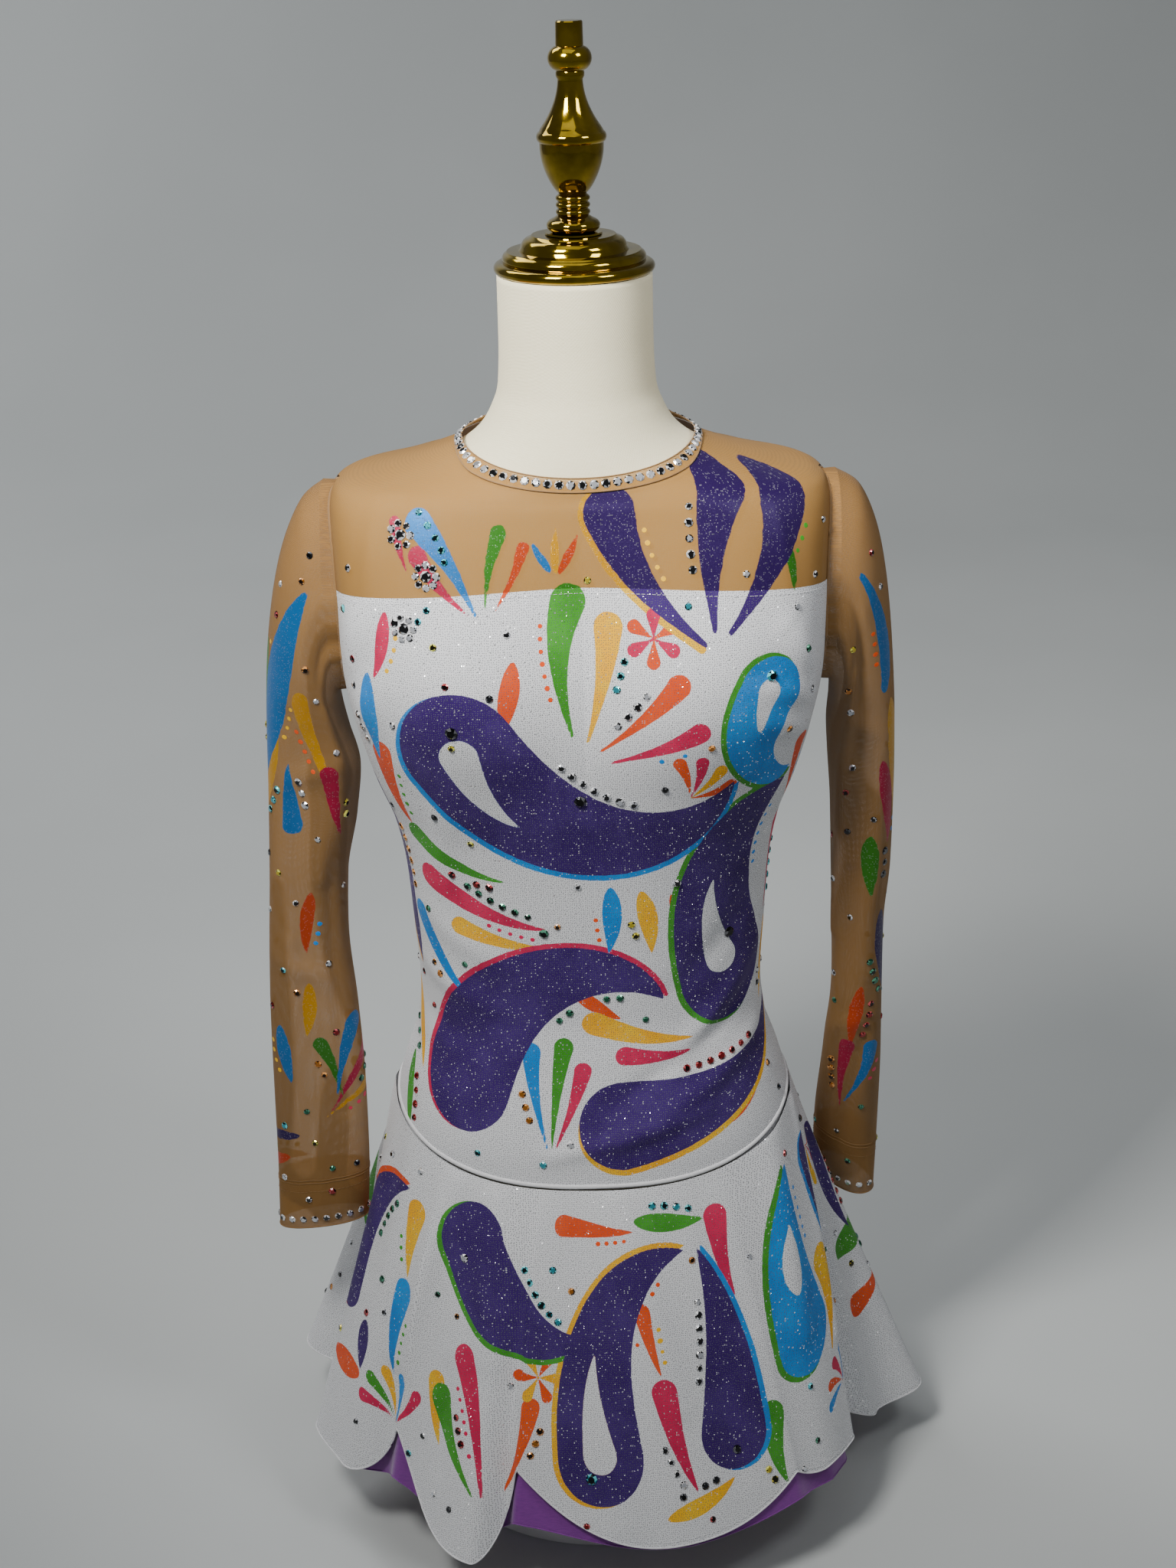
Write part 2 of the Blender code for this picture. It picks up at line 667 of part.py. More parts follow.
def make_form_cap(material, collection):
    """The stepped cap: a small drum, a shoulder and a wide rounded rim."""
    profile = [(0.0, 0.9036), (0.0262, 0.9036), (0.0272, 0.9026)]
    profile += ring_arc(0.0272, 0.8950, 0.0062, 0.0072, 70, 10, 4)
    profile += [(0.0345, 0.8943), (0.0418, 0.8941)]
    profile += ring_arc(0.0400, 0.8895, 0.0050, 0.0044, 60, -25, 5)
    profile += [(0.0470, 0.8874)]
    profile += ring_arc(0.0468, 0.8838, 0.0036, 0.0034, 70, -60, 6)
    profile += [(0.0478, 0.8805), (0.0, 0.8805)]
    return turned("form_cap", profile, material, collection, steps=32)


def make_form_finial(material, collection):
    """Turned from the top post down through ball, stem, cup, beads and bulb."""
    profile = [(0.0, 1.0298), (0.0076, 1.0298), (0.0083, 1.0290), (0.0085, 1.0162)]
    profile += ring_arc(0.0062, 1.0080, 0.0073, 0.0076, 72, -72, 8)
    profile += [(0.0088, 0.9998), (0.0088, 0.9978)]
    for i in range(6):
        share = i / 5
        profile.append((mix(0.0078, 0.0188, share**1.9), mix(0.9960, 0.9676, share)))
    profile += ring_arc(0.0186, 0.9622, 0.0030, 0.0036, 65, -65, 5)
    for i in range(7):
        share = i / 6
        radius = mix(0.0085, 0.0198, math.cos(math.pi / 2 * share) ** 0.75)
        profile.append((radius, mix(0.9574, 0.9284, share)))
    for bead in range(3):
        profile += ring_arc(0.0088, 0.9256 - 0.0042 * bead, 0.0019, 0.0019, 70, -70, 3)
    profile += ring_arc(0.0095, 0.9092, 0.0072, 0.0046, 65, -65, 5)
    profile += [(0.0176, 0.9050), (0.0178, 0.9040), (0.0, 0.9039)]
    return turned("form_finial", profile, material, collection)


def main():
    start_empty()
    parts = new_collection("figure_skating_dress_on_form")
    cutters = new_collection("cutters")
    finish = {name: make_material(name) for name in FINISHES}

    make_form_base(finish["white_plastic"], parts)
    make_form_body(finish["ivory_linen"], parts)
    make_form_cap(finish["polished_gold"], parts)
    make_form_finial(finish["polished_gold"], parts)

    quarter = math.pi / 2 - SEAM_GAP / 0.16
    front = (-quarter, quarter)
    back = (math.pi - quarter, math.pi + quarter)
    armholes = [armhole_cutter(side, cutters) for side in (-1, 1)]

    def bodice_low(azimuth):
        return hip_seam_height(azimuth) + PIPING_RADIUS + SEAM_GAP

    def bodice_high(azimuth):
        return edge_height(CHEST_SEAM, azimuth) - SEAM_GAP

    def yoke_low(azimuth):
        return edge_height(CHEST_SEAM, azimuth)

    def band_low(azimuth):
        return edge_height(BAND_BOTTOM, azimuth)

    def yoke_high(azimuth):
        return band_low(azimuth) - BAND_GAP

    def band_high(azimuth):
        return edge_height(BAND_TOP, azimuth)

    white = finish["white_glitter_cloth"]
    nude = finish["nude_mesh"]
    panels = [
        body_panel("bodice_front", front, 23, 16, bodice_low, bodice_high, CLOTH_OUT, white, parts,
                   loose=puff_rise),
        body_panel("bodice_back", back, 19, 13, bodice_low, bodice_high, CLOTH_OUT, white, parts),
        body_panel("yoke_front", front, 21, 8, yoke_low, yoke_high, CLOTH_OUT, nude, parts),
        body_panel("yoke_back", back, 19, 8, yoke_low, yoke_high, CLOTH_OUT, nude, parts),
    ]
    for panel in panels:
        open_armholes(panel, armholes)
    body_panel("neckband", (0.0, 2 * math.pi), 48, 3, band_low, band_high, CLOTH_OUT + SEAM_GAP,
               nude, parts, closed=True)
    make_sleeve("sleeve_right", -1, RIGHT_SLEEVE, RIGHT_FOLDS, nude, parts)
    make_sleeve("sleeve_left", 1, LEFT_SLEEVE, LEFT_FOLDS, nude, parts)
    make_piping(finish["white_piping"], parts)
    make_skirt(white, parts)
    make_underskirt(finish["violet_cloth"], parts)

    def brief_low(azimuth):
        return edge_height(BRIEF_LEG, azimuth, 1.4)

    def brief_high(azimuth):
        return hip_seam_height(azimuth) - 2 * PIPING_RADIUS

    body_panel("brief", (0.0, 2 * math.pi), 36, 4, brief_low, brief_high, BRIEF_OUT, white, parts,
               wall=THIN_WALL, closed=True)
    make_zip(finish["zip_tape"], parts)


main()
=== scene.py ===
import math
from collections import namedtuple

import bpy
import numpy as np
from mathutils import Matrix, Vector


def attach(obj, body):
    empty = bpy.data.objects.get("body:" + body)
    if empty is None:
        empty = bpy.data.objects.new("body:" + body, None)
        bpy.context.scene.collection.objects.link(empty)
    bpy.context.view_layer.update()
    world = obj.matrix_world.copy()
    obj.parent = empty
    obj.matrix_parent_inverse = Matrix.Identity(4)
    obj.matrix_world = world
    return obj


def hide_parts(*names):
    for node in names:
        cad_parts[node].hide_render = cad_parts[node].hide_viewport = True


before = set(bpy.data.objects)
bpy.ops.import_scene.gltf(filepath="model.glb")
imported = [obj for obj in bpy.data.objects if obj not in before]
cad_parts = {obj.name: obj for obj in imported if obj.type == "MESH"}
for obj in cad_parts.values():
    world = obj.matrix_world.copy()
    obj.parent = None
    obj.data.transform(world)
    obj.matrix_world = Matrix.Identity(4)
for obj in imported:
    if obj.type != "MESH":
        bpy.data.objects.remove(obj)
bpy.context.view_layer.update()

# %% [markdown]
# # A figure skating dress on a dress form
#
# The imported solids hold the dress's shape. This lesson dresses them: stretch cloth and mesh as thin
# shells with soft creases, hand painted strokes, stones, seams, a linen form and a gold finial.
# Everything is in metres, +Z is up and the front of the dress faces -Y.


def srgb(red, green, blue):
    """A colour as seen on a screen, 0 to 255, turned into the linear values that shaders use."""
    values = [v / 255 / 12.92 if v < 11 else ((v / 255 + 0.055) / 1.055) ** 2.4 for v in (red, green, blue)]
    return (*values, 1.0)


# %% [markdown]
# ## Curves through short tables
#
# A dress pattern is drawn through a few measured points. `smooth` does the same: it passes through
# every value of a table column and never swings past it, so a waist stays the narrowest place.

# %% Smooth columns
def smooth(values, place):
    values = np.asarray(values, float)
    steps = np.diff(values)
    before, after = steps[:-1], steps[1:]
    slope = np.concatenate([steps[:1], np.zeros(len(before)), steps[-1:]])
    same_way = before * after > 0
    slope[1:-1][same_way] = (2 * before * after)[same_way] / (before + after)[same_way]
    place = np.clip(place, 0, len(values) - 1)
    row = np.minimum(place.astype(int), len(values) - 2)
    t = place - row
    return (values[row] * (2 * t**3 - 3 * t**2 + 1) + slope[row] * (t**3 - 2 * t**2 + t)
            + values[row + 1] * (3 * t**2 - 2 * t**3) + slope[row + 1] * (t**3 - t**2))


def bell(distance, reach):
    return np.exp(-0.5 * (distance / reach) ** 2)


# %% [markdown]
# ## The body under the dress
#
# The torso is a stack of rounded sections: half width, depth to the front, depth to the back and how
# square each one is. The bust is two soft bells added to the front. The dress lies a few millimetres
# out from this surface, as a stretch dress does on its form.

# %% Sections of the form
BODY = [
    # height, half width, depth to the front, depth to the back, squareness
    (0.0264, 0.1160, 0.0880, 0.0900, 2.2),
    (0.0900, 0.1320, 0.0965, 0.1030, 2.2),
    (0.1700, 0.1405, 0.1025, 0.1110, 2.3),
    (0.2500, 0.1415, 0.1045, 0.1120, 2.3),
    (0.2950, 0.1372, 0.1015, 0.1050, 2.3),
    (0.3300, 0.1285, 0.0945, 0.0945, 2.3),
    (0.3650, 0.1175, 0.0865, 0.0830, 2.3),
    (0.4000, 0.1143, 0.0820, 0.0770, 2.3),
    (0.4400, 0.1163, 0.0830, 0.0790, 2.4),
    (0.4900, 0.1195, 0.0870, 0.0860, 2.5),
    (0.5250, 0.1255, 0.0915, 0.0920, 2.6),
    (0.5600, 0.1372, 0.0965, 0.0955, 2.8),
    (0.5950, 0.1460, 0.0985, 0.0975, 3.1),
    (0.6350, 0.1525, 0.0970, 0.0980, 3.5),
    (0.6850, 0.1545, 0.0895, 0.0955, 3.8),
    (0.7200, 0.1560, 0.0815, 0.0885, 3.6),
    (0.7370, 0.1565, 0.0765, 0.0830, 3.2),
    (0.7470, 0.1548, 0.0735, 0.0785, 2.8),
    (0.7515, 0.1490, 0.0715, 0.0765, 2.6),
    (0.7568, 0.1265, 0.0696, 0.0738, 2.3),
    (0.7645, 0.0985, 0.0670, 0.0700, 2.0),
    (0.7730, 0.0770, 0.0640, 0.0665, 2.0),
    (0.7840, 0.0630, 0.0597, 0.0615, 2.0),
    (0.7970, 0.0550, 0.0553, 0.0570, 2.0),
    (0.8120, 0.0502, 0.0515, 0.0530, 2.0),
    (0.8400, 0.0488, 0.0490, 0.0500, 2.0),
    (0.8802, 0.0486, 0.0486, 0.0486, 2.0),
]
BODY_COLUMNS = list(zip(*BODY))
LAST_PLACE = len(BODY) - 1.0
SLEEVES = ("sleeve_right", "sleeve_left")
BUST_HEIGHT, BUST_APART, BUST_RISE, BUST_WIDTH = 0.628, 0.076, 0.0165, 0.048
BUST_ABOVE, BUST_BELOW = 0.058, 0.040
CLOTH_OUT = 0.0042       # from the form to the cloth's face
FINE_PLACES = np.linspace(0, LAST_PLACE, 4000)
FINE_HEIGHTS = smooth(BODY_COLUMNS[0], FINE_PLACES)


def place_at(height):
    return np.interp(height, FINE_HEIGHTS, FINE_PLACES)


def bare(azimuth, place):
    height, half_width, front, back, power = [smooth(column, place) for column in BODY_COLUMNS]
    sine, cosine = np.sin(azimuth), np.cos(azimuth)
    reach = (np.abs(sine) ** power + np.abs(cosine) ** power) ** (-1 / power)
    x = half_width * reach * sine
    y = -np.where(cosine > 0, front, back) * reach * cosine
    bust = BUST_RISE * bell(np.abs(x) - BUST_APART, BUST_WIDTH)
    bust *= bell(height - BUST_HEIGHT, np.where(height > BUST_HEIGHT, BUST_ABOVE, BUST_BELOW))
    return np.stack([x, y - bust * np.clip(1.6 * cosine, 0, 1), height], -1)


def body(azimuth, place, out=0.0):
    """Points round the form; azimuth 0 is the front and pi / 2 is at +X."""
    azimuth, place = np.broadcast_arrays(np.asarray(azimuth, float), np.asarray(place, float))
    inner = np.clip(place, 0.02, LAST_PLACE - 0.02)
    across = bare(azimuth + 0.01, inner) - bare(azimuth - 0.01, inner)
    up = bare(azimuth, inner + 0.02) - bare(azimuth, inner - 0.02)
    normal = np.cross(across, up)
    normal /= np.linalg.norm(normal, axis=-1, keepdims=True)
    return bare(azimuth, place) + normal * out


print("sections of the form:", len(BODY), "from", BODY[0][0], "to", BODY[-1][0], "metres high")


# %% [markdown]
# ## Edges of the pattern pieces
#
# Seams are heights at the front, side and back, joined by a soft curve. The waist seam dips at the
# front into a U. The armhole is an ellipse seen from the side, and the front and back pieces end at it.

# %% Edges
Edge = namedtuple("Edge", "front side back")
BAND_TOP = Edge(0.7655, 0.7760, 0.7860)
BAND_BOTTOM = Edge(0.7575, 0.7732, 0.7770)
CHEST_SEAM = Edge(0.7025, 0.6890, 0.7030)
HIP_SEAM = Edge(0.2840, 0.3120, 0.2880)
BRIEF_LEG = Edge(0.1350, 0.2450, 0.1300)
ARM_Y, ARM_Z, ARM_HALF_DEPTH, ARM_HALF_HEIGHT = 0.003, 0.6795, 0.050, 0.070


def edge_height(edge, azimuth, turn=2.0):
    middle = np.where(np.cos(azimuth) > 0, edge.front, edge.back)
    return middle + (edge.side - middle) * np.abs(np.sin(azimuth)) ** turn


def hip_height(azimuth):
    return edge_height(HIP_SEAM, azimuth, 3.0)


def side_azimuth(y, place, out=CLOTH_OUT):
    """Where round the body, on the +X side, the cloth has this depth."""
    low, high = np.full(np.shape(y), math.radians(5)), np.full(np.shape(y), math.radians(175))
    for _ in range(26):
        middle = (low + high) / 2
        ahead = body(middle, place, out)[..., 1] < y
        low, high = np.where(ahead, middle, low), np.where(ahead, high, middle)
    return (low + high) / 2


def armhole_limits(front):
    """For fine steps of place: how far round from the middle a piece reaches before the armhole."""
    places = np.linspace(0, LAST_PLACE, 900)
    above = (smooth(BODY_COLUMNS[0], places) - ARM_Z) / ARM_HALF_HEIGHT
    half = ARM_HALF_DEPTH * np.sqrt(np.clip(1 - above**2, 0, 1))
    edge = side_azimuth(ARM_Y + (-half if front else half), places)
    reach = np.minimum(edge, math.pi / 2) if front else np.minimum(math.pi - edge, math.pi / 2)
    return places, np.where(np.abs(above) < 1, reach, math.pi / 2)


print("the hip seam is", HIP_SEAM.front, "m high at the front and", HIP_SEAM.side, "m at the side")


# %% [markdown]
# ## Sheets
#
# Each cut piece becomes a grid of points. Beside its place in the room, every point knows its place
# on the flat cloth, in metres: `across` and `up`. Weave, paint and stones are laid out on the flat
# cloth, as the maker does, so they follow each fold. `Crease` rows add soft ridges and troughs.

# %% Sheets and creases
Panel = namedtuple("Panel", "name points across up scale")
Crease = namedtuple("Crease", "panel across up to_across to_up height width")


def rows_of(kind, **tables):
    """Named rows from plain ones; each table holds the rows of one piece of cloth."""
    return [kind(name, *row) for name, rows in tables.items() for row in rows]


def plain_panel(name, points, across):
    """A sheet whose flat height is its height in the room."""
    return Panel(name, points, across, points[..., 2].copy(), np.ones(across.shape))


def lengths(points, axis=1):
    """Lengths along the sheet from its first column, or from its first row with axis 0."""
    step = np.linalg.norm(np.diff(points, axis=axis), axis=-1)
    start = np.zeros_like(np.take(step, [0], axis))
    return np.concatenate([start, np.cumsum(step, axis)], axis)


def line_lengths(line):
    """Lengths along one line of points."""
    return lengths(line[None])[0]


def at_length(wanted, along, values):
    """Values of a line of points at this length along it."""
    return np.array([np.interp(wanted, along, values[:, axis]) for axis in range(3)])


def normals(points):
    normal = np.cross(np.gradient(points, axis=1), np.gradient(points, axis=0))
    return normal / np.maximum(np.linalg.norm(normal, axis=-1, keepdims=True), 1e-9)


def rise_of(panel, creases):
    """How far the crease rows of this panel lift each point, in mm."""
    rise = np.zeros(panel.across.shape)
    for c in creases:
        if c.panel == panel.name:
            x, y = (panel.across - c.across) * panel.scale, panel.up - c.up / 1000
            run = (c.to_across - c.across) * np.mean(panel.scale)
            climb = (c.to_up - c.up) / 1000
            t = np.clip((x * run + y * climb) / (run**2 + climb**2), 0, 1)
            away = np.hypot(x - t * run, y - t * climb)
            rise += c.height * bell(away, c.width / 1000) * (0.55 + 0.45 * np.sin(math.pi * t))
    return rise


def creased(panel, creases):
    """Moves the sheet in and out along its own normal."""
    rise = rise_of(panel, creases)[..., None]
    return panel._replace(points=panel.points + normals(panel.points) * rise / 1000)


def placed_mesh(name, verts, faces, material, smooth_faces=True):
    mesh = bpy.data.meshes.new(name)
    mesh.from_pydata(verts, [], faces)
    if smooth_faces:
        mesh.shade_smooth()
    mesh.materials.append(material)
    item = bpy.data.objects.new(name, mesh)
    bpy.context.scene.collection.objects.link(item)
    return item


def grid_mesh(name, points, material, uv=None):
    rows, columns = points.shape[:2]
    index = np.arange(rows * columns).reshape(rows, columns)
    quads = np.stack([index[:-1, :-1], index[:-1, 1:], index[1:, 1:], index[1:, :-1]], -1).reshape(-1, 4)
    item = placed_mesh(name, points.reshape(-1, 3), quads, material)
    if uv is not None:
        layer = item.data.uv_layers.new(name="cloth")
        layer.uv.foreach_set("vector", uv.reshape(-1, 2)[quads.reshape(-1)].astype(np.float32).ravel())
    return item


def show(item, slot, *nodes):
    """The piece rides on the object's one body and stands for the named solids."""
    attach(item, "root")
    if nodes:
        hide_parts(*nodes)
    return item


def area_of(points):
    a, b = np.diff(points[:, :-1], axis=0), np.diff(points[:-1], axis=1)
    return float(np.linalg.norm(np.cross(a, b), axis=-1).sum())


# %% [markdown]
# ## Bodice and yoke
#
# The bodice is cut from opaque stretch cloth and the yoke from nude mesh. Both are drawn on the same
# surface, between a lower and an upper seam, and their sides follow the side seam or the armhole.

# %% Front and back pieces
def body_sheet(name, front, low, high, rows, columns, out=CLOTH_OUT):
    places, reaches = armhole_limits(front)
    s, t = np.linspace(-1, 1, columns)[None, :], np.linspace(0, 1, rows)[:, None]
    reach = np.full((rows, 1), math.pi / 2)
    for _ in range(6):
        azimuth = s * reach if front else math.pi + s * reach
        place = place_at(low(azimuth)) * (1 - t) + place_at(high(azimuth)) * t
        reach = np.interp(place, places, reaches)
    points = body(azimuth, place, out)
    across = lengths(points)
    across = across - across[:, columns // 2:columns // 2 + 1]
    return plain_panel(name, points, across)


CREASES = rows_of(
    Crease,
    bodice_front=[
        # loose cloth at the top corners of the bodice, beside the armholes
        (0.132, 672, 0.158, 640, 4.0, 8),
        (0.128, 640, 0.160, 622, 4.5, 6),
        (0.112, 648, 0.150, 629, -2.0, 5),
        (0.122, 612, 0.162, 600, 3.0, 7),
        (-0.136, 690, -0.160, 655, 3.0, 9),
        (-0.140, 640, -0.160, 610, 3.0, 9),
        # drags towards the hip on the left-hand side of the wearer
        (0.020, 318, 0.130, 372, 3.5, 7),
        (0.010, 338, 0.120, 402, -2.6, 6),
        (0.046, 352, 0.125, 436, 2.8, 7),
        (-0.030, 306, 0.080, 330, 2.6, 5),
        (0.060, 420, 0.122, 478, -1.9, 8),
        # waist and side drags
        (-0.122, 470, -0.060, 440, 1.9, 8),
        (-0.126, 425, -0.070, 404, 2.2, 7),
        (-0.124, 385, -0.080, 378, -1.8, 7),
        (0.000, 640, 0.010, 560, 1.5, 16),
        (-0.090, 560, -0.110, 480, 1.8, 10),
        (0.100, 560, 0.118, 470, -1.8, 10),
    ],
    bodice_back=[
        (-0.020, 420, 0.060, 400, 1.9, 8),
        (-0.070, 380, 0.010, 392, -1.4, 8),
        (0.020, 356, 0.100, 372, 1.8, 8),
        (-0.110, 430, -0.050, 450, 1.6, 8),
        (0.120, 640, 0.150, 615, 3.8, 8),
        (-0.125, 645, -0.150, 618, 3.8, 8),
    ],
    yoke_front=[
        (0.122, 742, 0.133, 700, 1.4, 5),
        (-0.130, 745, -0.138, 700, 1.3, 5),
        (0.080, 762, 0.110, 720, 1.0, 7),
    ],
    yoke_back=[
        (0.100, 760, 0.128, 710, 1.4, 6),
        (-0.100, 760, -0.128, 710, 1.4, 6),
    ],
)


def hip_edge(azimuth):
    return hip_height(azimuth) + 0.0016


def chest(azimuth):
    return edge_height(CHEST_SEAM, azimuth)


def band_low(azimuth):
    return edge_height(BAND_BOTTOM, azimuth)


panels = {}
for panel in (
    body_sheet("bodice_front", True, hip_edge, chest, 262, 241),
    body_sheet("bodice_back", False, hip_edge, chest, 150, 121),
    body_sheet("yoke_front", True, chest, band_low, 60, 181, CLOTH_OUT - 0.0004),
    body_sheet("yoke_back", False, chest, band_low, 50, 121, CLOTH_OUT - 0.0004),
):
    panels[panel.name] = creased(panel, CREASES)
    print(panel.name, "cloth area", round(area_of(panel.points), 4), "square metres")


# %% [markdown]
# ## Sleeves
#
# A sleeve is a tube of mesh with one seam. It hangs empty, so it falls flat beside the form: each row
# of the table gives its outer edge, its inner edge and half its depth. The creases run down the arm.

# %% Sleeves
SleeveRing = namedtuple("SleeveRing", "outer_x outer_y outer_z inner_x inner_y inner_z half_depth")
SleeveFold = namedtuple("SleeveFold", "turn height depth reach_turn reach_height")
RIGHT_SLEEVE = [
    (0.1660, 0.003, 0.7495, 0.1625, 0.003, 0.6095, 0.0500),
    (0.1785, 0.003, 0.7400, 0.1635, 0.003, 0.6050, 0.0495),
    (0.1930, 0.003, 0.7120, 0.1635, 0.003, 0.5980, 0.0480),
    (0.2030, 0.002, 0.6740, 0.1615, 0.002, 0.5890, 0.0450),
    (0.2095, 0.001, 0.6300, 0.1575, 0.001, 0.5750, 0.0400),
    (0.2130, 0.000, 0.5850, 0.1520, 0.000, 0.5530, 0.0350),
    (0.2155, 0.000, 0.5350, 0.1560, 0.000, 0.5200, 0.0300),
    (0.2190, 0.000, 0.4750, 0.1650, 0.000, 0.4750, 0.0260),
    (0.2225, -0.002, 0.4250, 0.1670, -0.002, 0.4290, 0.0240),
    (0.2255, -0.004, 0.3700, 0.1635, -0.004, 0.3750, 0.0220),
    (0.2270, -0.006, 0.3100, 0.1615, -0.006, 0.3150, 0.0200),
    (0.2280, -0.008, 0.2550, 0.1620, -0.008, 0.2610, 0.0175),
    (0.2300, -0.010, 0.2010, 0.1650, -0.010, 0.2090, 0.0150),
]
LEFT_SLEEVE = [
    (0.1660, 0.003, 0.7495, 0.1625, 0.003, 0.6095, 0.0500),
    (0.1800, 0.003, 0.7410, 0.1640, 0.003, 0.6050, 0.0490),
    (0.1915, 0.003, 0.7180, 0.1645, 0.003, 0.5980, 0.0470),
    (0.1990, 0.003, 0.6840, 0.1640, 0.003, 0.5900, 0.0430),
    (0.2045, 0.003, 0.6350, 0.1625, 0.003, 0.5750, 0.0380),
    (0.2080, 0.004, 0.5800, 0.1635, 0.004, 0.5550, 0.0330),
    (0.2090, 0.005, 0.5300, 0.1660, 0.005, 0.5200, 0.0290),
    (0.2085, 0.006, 0.4750, 0.1675, 0.006, 0.4750, 0.0250),
    (0.2055, 0.008, 0.4250, 0.1690, 0.010, 0.4300, 0.0230),
    (0.2060, 0.010, 0.3700, 0.1705, 0.016, 0.3750, 0.0210),
    (0.2065, 0.016, 0.3150, 0.1685, 0.032, 0.3200, 0.0190),
    (0.2050, 0.028, 0.2480, 0.1690, 0.062, 0.2550, 0.0175),
    (0.2040, 0.040, 0.1830, 0.1715, 0.088, 0.1900, 0.0160),
]
RIGHT_FOLDS = [
    (75.0, 0.560, 0.0060, 26.0, 0.045),
    (120.0, 0.500, -0.0040, 24.0, 0.040),
    (95.0, 0.430, 0.0050, 24.0, 0.050),
    (70.0, 0.310, 0.0030, 26.0, 0.060),
    (270.0, 0.520, 0.0060, 28.0, 0.050),
    (285.0, 0.350, 0.0040, 26.0, 0.070),
]
LEFT_FOLDS = [
    (85.0, 0.585, 0.0070, 26.0, 0.050),
    (120.0, 0.480, 0.0050, 24.0, 0.070),
    (75.0, 0.380, 0.0050, 24.0, 0.060),
    (275.0, 0.540, 0.0060, 28.0, 0.050),
    (260.0, 0.390, 0.0040, 26.0, 0.060),
]
# sleeves: across is metres round the arm from the front line, and grows towards the outer edge
SLEEVE_CREASES = rows_of(
    Crease,
    sleeve_right=[
        (-0.020, 728, -0.030, 612, -2.4, 5),
        (0.006, 722, 0.000, 600, 1.8, 6),
        (-0.034, 650, -0.012, 480, 2.7, 5),
        (0.016, 600, 0.004, 420, -2.1, 5),
        (-0.016, 540, -0.020, 300, -2.2, 4),
        (0.012, 430, 0.016, 230, 2.0, 5),
        (-0.006, 330, 0.002, 215, 1.5, 4),
        (-0.022, 566, 0.014, 552, 2.1, 6),
        (-0.012, 402, 0.022, 418, 1.5, 6),
    ],
    sleeve_left=[
        (-0.020, 726, -0.028, 610, 2.1, 5),
        (0.004, 716, -0.006, 560, -2.4, 5),
        (-0.014, 620, -0.022, 420, 2.7, 4),
        (0.010, 560, 0.002, 330, 2.4, 5),
        (-0.010, 470, -0.004, 240, -2.2, 4),
        (0.012, 380, 0.008, 215, -1.5, 4),
        (-0.018, 592, 0.012, 572, 2.2, 6),
        (-0.014, 340, 0.012, 352, 1.5, 6),
    ],
)
# where the empty sleeve has folded over and two layers of mesh lie on each other, so the mesh is denser
# there and painted darker, as painted shade along the folds; height is a share
DOUBLED_AND_SHADED = rows_of(
    Crease,
    sleeve_right=[
        (-0.026, 690, -0.024, 560, 1.0, 13),
        (-0.010, 560, -0.030, 380, 1.0, 11),
        (0.026, 470, 0.034, 250, 1.0, 12),
        (-0.014, 330, -0.004, 216, 1.0, 8),
        (0.030, 236, -0.028, 224, 0.9, 9),
    ],
    sleeve_left=[
        (-0.016, 700, -0.022, 520, 1.0, 16),
        (0.004, 520, -0.012, 330, 1.0, 12),
        (0.022, 420, 0.020, 210, 1.0, 12),
        (-0.014, 320, 0.000, 200, 1.0, 10),
    ],
)


def sleeve_sheet(name, side, table, folds, rows, columns):
    turn = np.linspace(-math.pi / 2, 3 * math.pi / 2, columns)[None, :]
    place = np.linspace(-1, len(table) - 1, rows)[:, None]
    ring = SleeveRing(*(smooth(column, place) for column in zip(*table)))
    outer = np.stack([ring.outer_x, ring.outer_y, ring.outer_z], -1)
    inner = np.stack([ring.inner_x, ring.inner_y, ring.inner_z], -1)
    middle, half = (outer + inner) / 2, (outer - inner) / 2
    squareness = 2.2
    run = np.gradient(middle, axis=0) * (1, 0, 1)
    run[place[:, 0] <= 0] = run[np.argmax(place[:, 0] > 0)]
    back = np.cross(half, run)
    back /= np.linalg.norm(back, axis=-1, keepdims=True)
    sine, cosine = np.sin(turn)[..., None], np.cos(turn)[..., None]
    reach = (np.abs(sine) ** squareness + np.abs(cosine) ** squareness) ** (-1 / squareness)
    points = middle + half * reach * cosine - back * ring.half_depth[..., None] * reach * sine
    inwards = (middle - points) / np.linalg.norm(middle - points, axis=-1, keepdims=True)
    for fold in map(SleeveFold._make, folds):
        away = (np.degrees(turn) - fold.turn + 180) % 360 - 180
        depth = fold.depth * bell(away, fold.reach_turn)
        points = points + inwards * (depth * bell(points[..., 2] - fold.height, fold.reach_height))[..., None]
    y, z = ARM_Y - ARM_HALF_DEPTH * np.sin(turn[0]), ARM_Z + ARM_HALF_HEIGHT * np.cos(turn[0])
    arm_place = place_at(z)
    start = np.stack([body(side_azimuth(y, arm_place), arm_place, CLOTH_OUT)[..., 0], y, z], -1)
    share = np.clip(place + 1, 0, 1)[..., None]
    points = np.where(share < 1, start * (1 - share) + points * share, points) * (side, 1, 1)
    points = points[::-1]
    if side > 0:
        points = points[:, ::-1]
    across = lengths(points)
    front = columns // 2
    return plain_panel(name, points, (across - across[:, front:front + 1]) * side)


for panel in (
    sleeve_sheet("sleeve_right", -1, RIGHT_SLEEVE, RIGHT_FOLDS, 300, 121),
    sleeve_sheet("sleeve_left", 1, LEFT_SLEEVE, LEFT_FOLDS, 300, 121),
):
    panels[panel.name] = creased(panel, SLEEVE_CREASES)
    print(panel.name, "cloth area", round(area_of(panel.points), 4), "square metres")


# %% [markdown]
# ## Skirt and underskirt
#
# The skirt is cut as a flare and its hem is cut into deep scallops. Each row of the table is one mark
# of the hem: where it is seen round the form, how far out and how high, and which point of the hip
# seam it hangs from. Between two marks the hem is drawn as the curved edge of a scallop or a fold.

